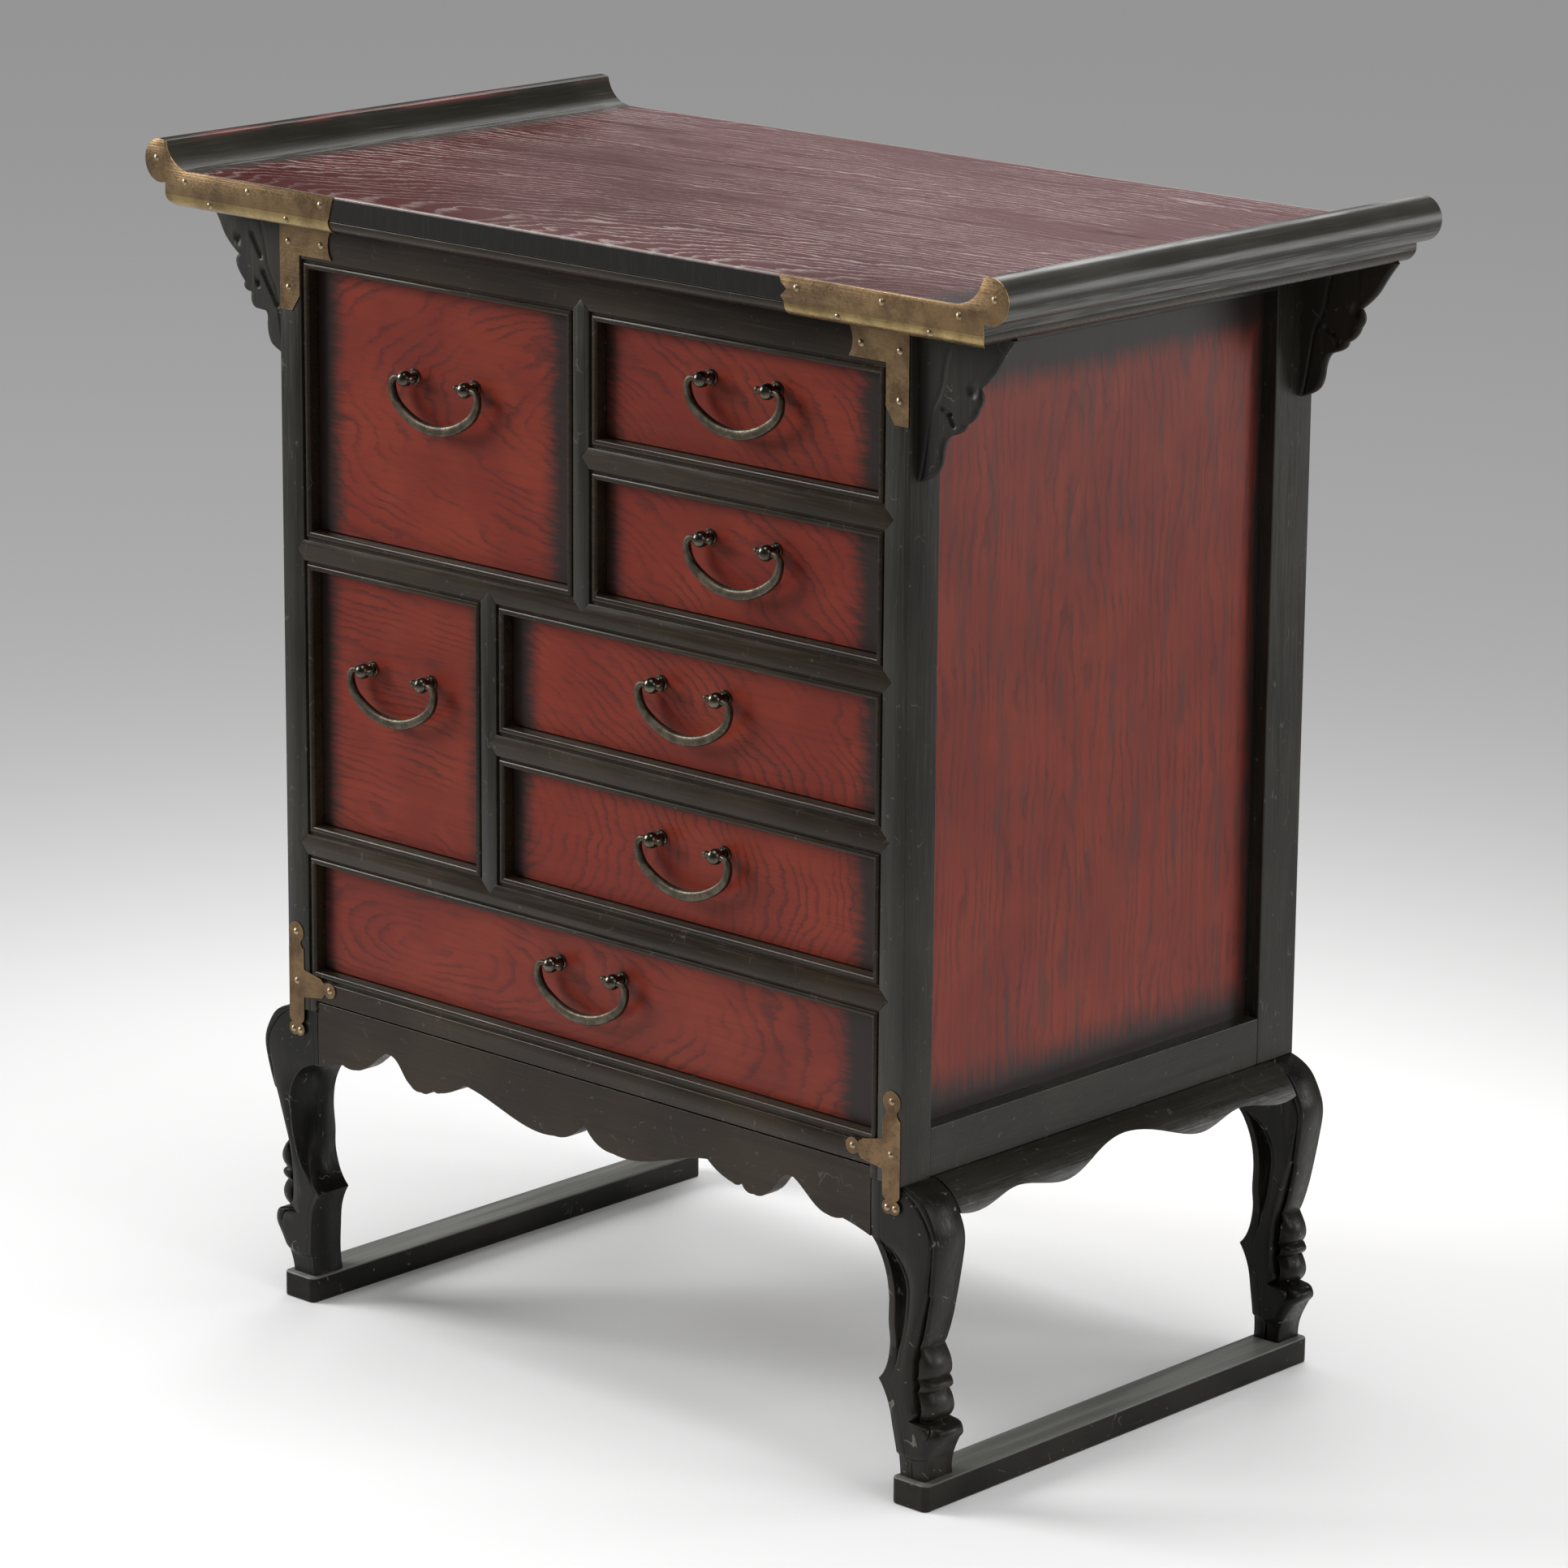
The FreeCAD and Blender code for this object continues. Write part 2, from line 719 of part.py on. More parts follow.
def rectangle_with_holes(body, label, width, below, above):
    """Drawer front seen from the front, with its origin midway between the two holes for the pull posts."""
    corners = [(-1, -1), (1, -1), (1, 1), (-1, 1)]
    sides = [
        Part.LineSegment(Vector(*corners[i], 0) * 50, Vector(*corners[(i + 1) % 4], 0) * 50) for i in range(4)
    ]
    holes = [Part.Circle(Vector(x, 0, 0), Vector(0, 0, 1), 2) for x in (-30, 30)]
    sketch = sketch_in(body, "XZ_Plane", sides + holes, f"{label}_outline")
    for side in range(4):
        sketch.addConstraint(Sketcher.Constraint("Coincident", side, 2, (side + 1) % 4, 1))
    for direction, side in (("Vertical", 1), ("Horizontal", 2), ("Vertical", 3)):
        sketch.addConstraint(Sketcher.Constraint(direction, side))
    sketch.addConstraint(Sketcher.Constraint("Symmetric", 0, 1, 0, 2, -2))
    sketch.addConstraint(Sketcher.Constraint("Symmetric", 4, 3, 5, 3, -1, 1))
    sketch.addConstraint(Sketcher.Constraint("PointOnObject", 4, 3, -1))
    sketch.addConstraint(Sketcher.Constraint("Equal", 4, 5))
    sizes = {
        "width": (Sketcher.Constraint("DistanceX", 0, 1, 0, 2, 100), width),
        "below": (Sketcher.Constraint("DistanceY", 0, 1, -1, 1, 50), below),
        "above": (Sketcher.Constraint("DistanceY", -1, 1, 2, 1, 50), above),
        "spacing": (Sketcher.Constraint("DistanceX", 4, 3, 5, 3, 60), "dims.post_spacing"),
        "hole": (Sketcher.Constraint("Radius", 4, 2), "dims.post_hole"),
    }
    for name, (constraint, expression) in sizes.items():
        index = sketch.addConstraint(constraint)
        sketch.renameConstraint(index, name)
        sketch.setExpression(f"Constraints.{name}", expression)
    return sketch


def make_drawer_front(label, left, right, low, high, eye):
    body = doc.addObject("PartDesign::Body", label)
    sketch = rectangle_with_holes(
        body,
        label,
        f"({right}) - ({left}) - 2 * dims.drawer_gap",
        f"({eye}) - ({low}) - dims.drawer_gap",
        f"({high}) - ({eye}) - dims.drawer_gap",
    )
    pad = body.newObject("PartDesign::Pad", f"{label}_pad")
    pad.Profile = sketch
    pad.setExpression("Length", "dims.drawer_front_thick")
    pad.Reversed = True
    return place(body, f"(({left}) + ({right})) / 2", deep("dims.drawer_recess"), eye)


def make_drawer_box(label, left, right, low, high):
    outer_left = f"({left}) + dims.drawer_side_gap"
    outer_right = f"({right}) - dims.drawer_side_gap"
    inner_left = f"{outer_left} + dims.drawer_side_thick"
    inner_right = f"{outer_right} - dims.drawer_side_thick"
    front = "dims.drawer_recess + dims.drawer_front_thick"
    back = f"{front} + dims.drawer_length"
    bottom = f"{low} + dims.drawer_rise"
    top = f"{high} - dims.drawer_top_drop"
    floor_top = f"{bottom} + dims.drawer_bottom_thick"
    back_face = f"{back} - dims.drawer_side_thick"
    return group(
        label,
        [
            board(f"{label}_left", (outer_left, inner_left), (front, back), (bottom, top)),
            board(f"{label}_right", (inner_right, outer_right), (front, back), (bottom, top)),
            board(f"{label}_back", (inner_left, inner_right), (back_face, back), (bottom, top)),
            board(f"{label}_bottom", (inner_left, inner_right), (front, back_face), (bottom, floor_top)),
        ],
    )


def make_posts(label, middle, eye):
    """Two pull posts with a ball head, a collar against the drawer front and a nut behind it."""
    ball = number("dims.post_ball")
    shank = number("dims.post_shank")
    face = number("dims.eye_forward")
    nut_face = face + number("dims.drawer_front_thick")
    end = nut_face + number("dims.nut_thick") + 2
    neck = 0.55 * ball
    neck_start = math.sqrt(ball**2 - neck**2)
    half_way = math.asin(neck_start / ball) / 2
    collar = 1.5
    turned = outline(
        (0, -ball),
        [(ball * math.sqrt(0.5), -ball * math.sqrt(0.5)), (ball, 0)],
        [(ball * math.cos(half_way), ball * math.sin(half_way)), (neck, neck_start)],
        (neck, face - collar),
        (ball, face - collar),
        (ball, face),
        (shank, face),
        (shank, end),
        (0, end),
    )
    body = doc.addObject("PartDesign::Body", f"{label}_turned")
    profile = sketch_in(body, "XY_Plane", turned, f"{label}_profile")
    revolve = body.newObject("PartDesign::Revolution", f"{label}_revolution")
    revolve.Profile = profile
    revolve.ReferenceAxis = (profile, ["V_Axis"])
    place(body, f"{middle} - dims.post_spacing / 2", deep("dims.drawer_recess - dims.eye_forward"), eye)

    hole = doc.addObject("Part::Cylinder", f"{label}_eye")
    hole.setExpression("Radius", "dims.pin_hole")
    hole.setExpression("Height", "4 * dims.post_ball")
    hole.Placement.Rotation = Rotation(Vector(0, 1, 0), 90)
    place(
        hole,
        f"{middle} - dims.post_spacing / 2 - 2 * dims.post_ball",
        deep("dims.drawer_recess - dims.eye_forward"),
        eye,
    )
    left = cut(f"{label}_left", body, hole)

    inside = "dims.drawer_recess + dims.drawer_front_thick"
    post_x = f"({middle} - dims.post_spacing / 2)"
    block = board(
        f"{label}_nut_block",
        (f"{post_x} - dims.nut_side / 2", f"{post_x} + dims.nut_side / 2"),
        (inside, f"{inside} + dims.nut_thick"),
        (f"{eye} - dims.nut_side / 2", f"{eye} + dims.nut_side / 2"),
    )
    bore = doc.addObject("Part::Cylinder", f"{label}_nut_bore")
    bore.setExpression("Radius", "dims.post_hole")
    bore.setExpression("Height", "3 * dims.nut_thick")
    bore.Placement.Rotation = Rotation(Vector(1, 0, 0), -90)
    place(bore, post_x, deep(f"{inside} - dims.nut_thick"), eye)
    left_nut = cut(f"{label}_nut_left", block, bore)

    pieces = [left, left_nut]
    for piece in (left, left_nut):
        twin = mirrored(f"{piece.Name}_twin", piece)
        twin.setExpression("Base.x", middle)
        pieces.append(twin)
    return group(label, pieces)


def make_bail(label, middle, eye):
    """A swinging bail: a swept loop whose thinner pins run through the posts and end in small balls."""
    half = number("dims.bail_half_width")
    elbow = number("dims.bail_elbow")
    corner = number("dims.bail_corner")
    drop = number("dims.bail_drop")
    # Radius of the long lower arc that runs on smoothly from both corner arcs.
    side = half - corner
    sink = drop - elbow
    lower = (side**2 + sink**2 - corner**2) / (2 * (sink - corner))
    lower_centre = lower - drop
    toward = Vector(side, -elbow - lower_centre, 0).normalize()
    corner_centre = Vector(side, -elbow, 0)
    join = corner_centre + toward * corner
    bend = math.atan2(toward.y, toward.x) / 2
    corner_middle = corner_centre + Vector(math.cos(bend), math.sin(bend), 0) * corner
    slack = elbow * math.sqrt(0.5)
    elbow_middle = Vector(half - elbow + slack, -elbow + slack, 0)

    def left(point):
        return Vector(-point.x, point.y, 0)

    top = Vector(half - elbow, 0, 0)
    hip = Vector(half, -elbow, 0)
    route = doc.addObject("Sketcher::SketchObject", f"{label}_route")
    route.Placement.Rotation = Rotation(Vector(1, 0, 0), 90)
    arcs = (
        (left(top), left(elbow_middle), left(hip)),
        (left(hip), left(corner_middle), left(join)),
        (left(join), Vector(0, -drop, 0), join),
        (join, corner_middle, hip),
        (hip, elbow_middle, top),
    )
    for start, through, finish in arcs:
        route.addGeometry(Part.Arc(start, through, finish))

    section = doc.addObject("Part::Circle", f"{label}_section")
    section.setExpression("Radius", "dims.bail_radius")
    section.Placement.Rotation = Rotation(Vector(0, 1, 0), 90)
    depth = deep("dims.drawer_recess - dims.eye_forward")
    elbow_x = "dims.bail_half_width - dims.bail_elbow"
    place(route, middle, depth, eye)
    place(section, f"{middle} - ({elbow_x})", depth, eye)
    loop = doc.addObject("Part::Sweep", f"{label}_loop")
    loop.Sections = [section]
    loop.Spine = (route, [f"Edge{index + 1}" for index in range(len(arcs))])
    loop.Solid = True

    pieces = [loop]
    for sign in (-1, 1):
        pin = doc.addObject("Part::Cylinder", f"{label}_pin_{'left' if sign < 0 else 'right'}")
        pin.setExpression("Radius", "dims.pin_radius")
        pin.setExpression("Height", f"{elbow_x} - dims.pin_inner")
        pin.Placement.Rotation = Rotation(Vector(0, 1, 0), 90)
        start = f"{middle} + dims.pin_inner" if sign > 0 else f"{middle} - ({elbow_x})"
        place(pin, start, depth, eye)
        tip = doc.addObject("Part::Sphere", f"{label}_tip_{'left' if sign < 0 else 'right'}")
        tip.setExpression("Radius", "dims.tip_radius")
        place(tip, f"{middle} + {sign} * dims.pin_inner", depth, eye)
        pieces += [pin, tip]
    return fuse(label, pieces)


def make_drawers():
    for key, (left, right, first, last) in OPENINGS.items():
        name = f"drawer_{key}"
        low = row_bottom(last)
        high = row_top(first)
        eye = f"{low} + dims.{'eye_tall' if last > first else 'eye_low'}"
        middle = f"({left} + {right}) / 2"
        node(make_drawer_front(f"{name}_front", left, right, low, high, eye))
        node(make_drawer_box(f"{name}_box", left, right, low, high))
        node(make_posts(f"{name}_posts", middle, eye))
        node(make_bail(f"{name}_bail", middle, eye))


def export_nodes():
    """Writes every piece, once the whole document is known to be sound."""
    doc.recompute()
    for thing in doc.Objects:
        if "Invalid" in thing.State or "Error" in thing.State:
            raise RuntimeError(f"{thing.Label} failed: {thing.State}")
    for piece in nodes:
        if piece.Shape.isNull() or not piece.Shape.isValid() or not piece.Shape.Solids:
            raise RuntimeError(f"{piece.Label} has no sound solid")
    os.makedirs("parts", exist_ok=True)
    for piece in nodes:
        piece.Shape.exportStep(os.path.join("parts", f"{piece.Label}.step"))
    whole = Part.makeCompound([piece.Shape for piece in nodes])
    print(f"{len(nodes)} nodes, {len(whole.Solids)} solids, box {whole.BoundBox}")


make_front_frame()
make_sides_and_back()
make_drawer_supports()
make_top()
make_moulding()
make_brackets()
make_aprons()
make_stand()
make_plates()
make_nails()
make_drawers()
export_nodes()
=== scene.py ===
import math

import bmesh
import bpy
from mathutils import Matrix, Vector


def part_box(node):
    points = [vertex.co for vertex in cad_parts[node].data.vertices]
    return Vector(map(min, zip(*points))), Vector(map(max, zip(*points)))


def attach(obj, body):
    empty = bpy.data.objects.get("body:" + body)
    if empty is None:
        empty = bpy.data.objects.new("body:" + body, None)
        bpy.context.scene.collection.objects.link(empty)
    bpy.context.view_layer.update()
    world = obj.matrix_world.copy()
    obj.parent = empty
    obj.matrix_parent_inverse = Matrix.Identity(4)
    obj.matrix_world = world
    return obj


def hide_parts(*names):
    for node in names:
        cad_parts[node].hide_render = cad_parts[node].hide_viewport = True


# Looks of a small lacquered chest of seven drawers: red drawer fronts in a black frame with beaded openings,
# brass plates, bronze bail pulls and a carved stand. Metres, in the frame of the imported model.

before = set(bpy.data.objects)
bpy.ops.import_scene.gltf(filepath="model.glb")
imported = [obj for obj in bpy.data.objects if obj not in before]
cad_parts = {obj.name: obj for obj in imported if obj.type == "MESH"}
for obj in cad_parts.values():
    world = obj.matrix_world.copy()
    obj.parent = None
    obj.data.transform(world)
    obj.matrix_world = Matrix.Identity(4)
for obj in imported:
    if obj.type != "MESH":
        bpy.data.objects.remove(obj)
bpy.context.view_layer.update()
MM = 0.001


# Materials

class Value:
    """What a node of a shader gives: a number, a place, a colour or a surface."""

    def __init__(self, shader, socket):
        self.shader = shader
        self.socket = socket

    def math(self, operation, *others):
        return self.shader.value("Math", enumerate((self, *others)), operation=operation)

    def __add__(self, other):
        return self.math("ADD", other)

    def __sub__(self, other):
        return self.math("SUBTRACT", other)

    def __mul__(self, other):
        return self.math("MULTIPLY", other)

    def __truediv__(self, other):
        return self.math("DIVIDE", other)

    def ramp(self, low, high, start=0.0, finish=1.0):
        """A smooth step from start to finish as the number goes from low to high."""
        inputs = {"Value": self, "From Min": low, "From Max": high, "To Min": start, "To Max": finish}
        return self.shader.value("MapRange", inputs, interpolation_type="SMOOTHSTEP")

    def mix(self, first, second):
        """Two colours, where the number is the share of the second."""
        return self.shader.value("Mix", {0: self, 6: first, 7: second}, 2, data_type="RGBA")


class Shader:
    """Nodes of a material or of the world. What they are given is a number, a colour or a Value."""

    def __init__(self, name, kind="materials", base="Principled BSDF", **settings):
        self.holder = getattr(bpy.data, kind).new(name)
        self.holder.use_nodes = True
        self.tree = self.holder.node_tree
        self.base = self.tree.nodes[base]
        self.plain = Value(self, self.base.outputs[0])
        self.output = self.base.outputs[0].links[0].to_socket
        for socket, value in settings.items():
            self.base.inputs[socket.replace("_", " ")].default_value = value

    def feed(self, socket, value):
        if isinstance(value, Value):
            self.tree.links.new(value.socket, socket)
        else:
            socket.default_value = value

    def value(self, kind, inputs=(), output=0, **settings):
        """What a new node gives."""
        made = self.tree.nodes.new("ShaderNode" + kind)
        for key, setting in settings.items():
            setattr(made, key, setting)
        for socket, given in dict(inputs).items():
            self.feed(made.inputs[socket], given)
        return Value(self, made.outputs[output])

    def place(self):
        """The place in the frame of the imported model, and its X, Y and Z."""
        where = self.value("TexCoord", output="Object")
        return where, {axis: self.value("SeparateXYZ", {0: where}, axis) for axis in "XYZ"}

    def noise(self, where, scale=1.0, detail=2.0, roughness=0.5):
        inputs = {"Vector": where, "Scale": scale, "Detail": detail, "Roughness": roughness}
        return self.value("TexNoise", inputs, "Fac")

    def stretched(self, where, sizes, detail=2.0, roughness=0.5, shift=(0, 0, 0)):
        """Noise with a size along each axis."""
        inputs = {"Vector": where, "Scale": [1 / size for size in sizes], "Location": shift}
        return self.noise(self.value("Mapping", inputs), 1.0, detail, roughness)

    def drawn_out(self, run, side, size, shift, detail, roughness):
        """Noise drawn out along the grain. size holds its length and width."""
        spot = self.value("CombineXYZ", enumerate((run / size[0], side / size[1], shift)))
        return self.noise(spot, 1.0, detail, roughness)

    def bump(self, height, depth, strength):
        """Relief of the given depth in metres."""
        inputs = {"Height": height, "Distance": depth, "Strength": strength}
        self.feed(self.base.inputs["Normal"], self.value("Bump", inputs))

    def edges(self, radius, low, high):
        """One near the arrises, nought on flat faces."""
        rounded = self.value("Bevel", {"Radius": radius}, samples=6)
        plain = self.value("NewGeometry", output="Normal")
        agree = self.value("VectorMath", {0: rounded, 1: plain}, "Value", operation="DOT_PRODUCT")
        return agree.ramp(1 - low, 1 - high)

    def darkened_edges(self, axes, edges, ragged):
        """One along edges of a board, nought inside it. edges holds (axis, place, direction inwards, width,
        feather, swing of the ragged line) of each edge."""
        made = 0.0
        for axis, edge, inward, width, feather, swing in edges:
            reach = (axes[axis] - edge) * inward + ragged * swing
            made = reach.ramp(width, width + feather, 1.0, 0.0).math("MAXIMUM", made)
        return made

    def seen(self):
        """One for camera, glossy and transmission rays, which see the backdrop."""
        seen = 0.0
        for ray in ("Camera", "Glossy", "Transmission"):
            seen = self.value("LightPath", output=f"Is {ray} Ray").math("MAXIMUM", seen)
        return seen

    def paint(self, colour, roughness):
        self.feed(self.base.inputs["Base Color"], colour)
        self.feed(self.base.inputs["Roughness"], roughness)
        return self.holder


def fibre_sizes(along, length, width):
    return [length if axis == along else width for axis in "XYZ"]


# Length and width of fibres, of streaks and of long rubbed marks, and sizes of hairline scratches
FIBRE = (0.05, 0.0016)
STREAK = (0.22, 0.011)
LONG_RUB = (0.1, 0.012)
HAIRLINE = (0.026, 0.026, 0.04)
WORN_BROWN = (0.105, 0.085, 0.066, 1)
WORN_RED = (0.14, 0.045, 0.030, 1)
# Pale grey of the painted highlight along the foot of a roll's cove
PAINTED_FOOT_HIGHLIGHT = (0.17, 0.17, 0.15, 1)
# Pale grey painted on the tops of the runners as a sheen
PAINTED_SHEEN_GREY = (0.29, 0.295, 0.27, 1)
SCUFF = (0.17, 0.165, 0.145, 1)


def black_lacquer(
    name, along, dark, light, gloss=(0.25, 0.42), shine=0.32, scuffs=0.0, roll=None, painted_sheen_height=None
):
    """Charcoal black lacquer over wood whose fibres run along one axis, rubbed on the arrises. gloss holds
    the least and the greatest roughness. scuffs is the strength of short scratches and small chips. roll
    holds the heights of the foot and the crest of a roll end, and the depth and colour of that crest: worn
    red on the left roll, a painted highlight on the right; the foot gets a pale band, a painted highlight.
    The last argument is the height of upper faces painted pale grey as a sheen, more so on the left."""
    shader = Shader(f"black_lacquer_{name}", Specular_IOR_Level=shine)
    where, axes = shader.place()
    x, _, z = axes.values()
    cloud = shader.noise(where, 9.0, 3.0)
    fibre = shader.stretched(where, fibre_sizes(along, *FIBRE), 3.0)
    streak = shader.stretched(where, fibre_sizes(along, *STREAK))
    patch = shader.noise(where, 55.0, 4.0, 0.65)
    body = cloud.ramp(0.35, 0.7).mix(dark, light)
    body = streak.ramp(0.5, 0.75, 0.0, 0.55).mix(body, [0.5 * part for part in dark])
    body = fibre.ramp(0.58, 0.8, 0.0, 0.5).mix(body, [2.0 * part for part in light])
    wear_and_painted_light = shader.edges(2.2 * MM, 0.02, 0.22) * patch.ramp(0.5, 0.66, 0.0, 0.75)
    colour = wear_and_painted_light.mix(body, cloud.ramp(0.45, 0.6).mix(WORN_BROWN, WORN_RED))
    if roll:
        foot, crest, deep, crest_wear_and_highlight = roll
        long = shader.stretched(where, fibre_sizes(along, *LONG_RUB), 3.0)
        # The crest: rubbed red on the left roll is wear; the pale crest of the right roll is a painted
        # highlight
        wear_and_painted_light = z.ramp(crest - deep, crest - 0.1 * deep) * long.ramp(0.42, 0.58, 0.0, 0.7)
        colour = wear_and_painted_light.mix(colour, crest_wear_and_highlight)
        # Painted highlight: a pale band along the foot of the cove, in place of light reflected in the hollow
        wear_and_painted_light = z.ramp(foot + 2.4 * MM, foot + 0.4 * MM) * fibre.ramp(0.42, 0.6, 0.0, 0.5)
        colour = wear_and_painted_light.mix(colour, PAINTED_FOOT_HIGHLIGHT)
    # Painted sheen: upper faces below the given height painted pale grey, stronger on the left, in place of
    # light reflected from the runner tops
    if painted_sheen_height:
        wear_and_painted_light = z.ramp(painted_sheen_height - 1.4 * MM, painted_sheen_height - 0.4 * MM) * x.ramp(-0.25, 0.25, 0.95, 0.65)
        colour = (wear_and_painted_light * streak.ramp(0.35, 0.65, 1.0, 0.6)).mix(colour, PAINTED_SHEEN_GREY)
    if scuffs:
        drift = shader.stretched(where, HAIRLINE) - 0.5
        scratch = drift.math("ABSOLUTE").ramp(0.008, 0.003) * patch.ramp(0.55, 0.62)
        chip = shader.noise(where, 210.0, 1.0).ramp(0.74, 0.79)
        colour = (scratch.math("MAXIMUM", chip) * scuffs).mix(colour, SCUFF)
    shader.bump(fibre, 0.16 * MM, 0.6)
    return shader.paint(colour, fibre.ramp(0.3, 0.75, *gloss))


# Waves in the growth rings: length and width, and how many rings deep
RING_WAVES = (((0.13, 0.045), 4.5), ((0.022, 0.010), 0.9), ((0.007, 0.0016), 0.35))


def ring_lines(shader, along, across, heart, seed):
    """Growth rings as a flat board cuts them: arches about the heart, straight lines far from it. heart holds
    its place along and across, how steep the arches are, how blunt their tips are, and the rings' spacing."""
    centre, lift, steep, blunt, spacing = heart
    run = (along - centre) * steep
    side = across - lift
    radius = (side * side + (run * run + blunt**2)).math("SQRT")
    uneven = shader.noise(shader.value("CombineXYZ", {0: radius * 40.0, 1: seed}), 1.0, 1.0)
    phase = uneven * 3.0 + radius / spacing
    for size, amount in RING_WAVES:
        phase = shader.drawn_out(along, across, size, seed + 10 * size[0], 1.0, 0.5) * amount + phase
    return phase.math("FRACT")


RED_GROUND = (0.205, 0.024, 0.0125, 1)
RED_BRIGHT = (0.250, 0.034, 0.016, 1)
RED_GRAIN = (0.070, 0.0135, 0.0105, 1)
# Black of the darkened edges: burnish, and on the side panel partly painted shade
BURNISH_AND_SHADE_BLACK = (0.017, 0.0145, 0.0125, 1)
SMOKED = (0.060, 0.032, 0.027, 1)
# Swing of a darkened edge's ragged line, as a share of its feather
RAGGED = 0.6


def red_lacquer(
    name, along, across, box, heart, edges, seed, tone, bands=0.12, lines=0.55, gloss=0.27, smoked=0.0
):
    """Red lacquer with dark grain, on a board that fills the box. heart shapes the growth rings; edges holds
    (axis, place, direction inwards, width, feather) of each darkened edge, burnished on the drawers and
    partly painted shade on the side panel; tone lightens the ground. bands, lines and smoked are the strength
    of streaks, of rings and of dull brown patches along the grain."""
    shader = Shader(name, Specular_IOR_Level=gloss)
    where, axes = shader.place()
    middle = dict(zip("XYZ", (box[0] + box[1]) / 2))
    run = axes[along] - middle[along]
    side = axes[across] - middle[across]

    def grain(length, width, shift, detail=3.0, roughness=0.6):
        return shader.drawn_out(run, side, (length, width), seed + shift, detail, roughness)

    faded = shader.stretched(where, [0.05] * 3, shift=(0, 0, seed))
    cloud = shader.stretched(where, [0.07] * 3, 3.0, shift=[seed] * 3)
    ring = ring_lines(shader, run, side, heart, seed)
    ring = ring.ramp(0.48, 0.88) * ring.ramp(1.0, 0.9) * faded.ramp(0.36, 0.62, 0.1, 1.0)
    streak = grain(0.045, 0.0015, 0.0)
    band = grain(0.35, 0.0065, 5.0)
    pore = grain(0.009, 0.0008, 9.0, 1.0, 0.55).ramp(0.60, 0.70) * ring.ramp(0.0, 0.5, 0.3, 1.0)
    reds = [[tone * part for part in colour] for colour in (RED_GROUND, RED_BRIGHT)]
    dark = ring * lines + streak.ramp(0.5, 0.8, 0.0, 0.35)
    dark = pore * 0.45 + (band.ramp(0.4, 0.68) * bands + dark)
    colour = dark.math("MINIMUM", 0.9).mix(cloud.ramp(0.35, 0.66).mix(*reds), RED_GRAIN)
    if smoked:
        patch = grain(0.085, 0.015, 13.0, 4.0, 0.62)
        colour = patch.ramp(0.5, 0.68, 0.0, smoked).mix(colour, SMOKED)
    ragged = (grain(0.06, 0.003, 2.0) - 0.5) * 1.7 + (shader.noise(where, 28.0) - 0.5)
    swung = [(*edge, RAGGED * edge[-1]) for edge in edges]
    # Darkened edges: burnish, and on the side panel partly painted shade
    colour = (shader.darkened_edges(axes, swung, ragged) * 0.96).mix(colour, BURNISH_AND_SHADE_BLACK)
    shader.bump(dark + streak, 0.06 * MM, 0.5)
    return shader.paint(colour, streak.ramp(0.3, 0.8, 0.33, 0.46))


TOP_HEART = (0.44, -0.237, 0.23, 0.01, 0.0064)
MAROONS = ((0.062, 0.0075, 0.0066, 1), (0.084, 0.0150, 0.0160, 1))
# Pale pink of the painted reflection on the top
PAINTED_HAZE = (0.150, 0.066, 0.069, 1)
LIME = (0.34, 0.275, 0.255, 1)
SMOKE_BLACK = (0.020, 0.018, 0.017, 1)
EDGE_BLACKS = ((0.0068, 0.0062, 0.0046, 1), (0.0140, 0.0128, 0.0096, 1))
EDGE_ROUGHNESS = 0.34
BARE_ARRIS = (0.40, 0.36, 0.335, 1)


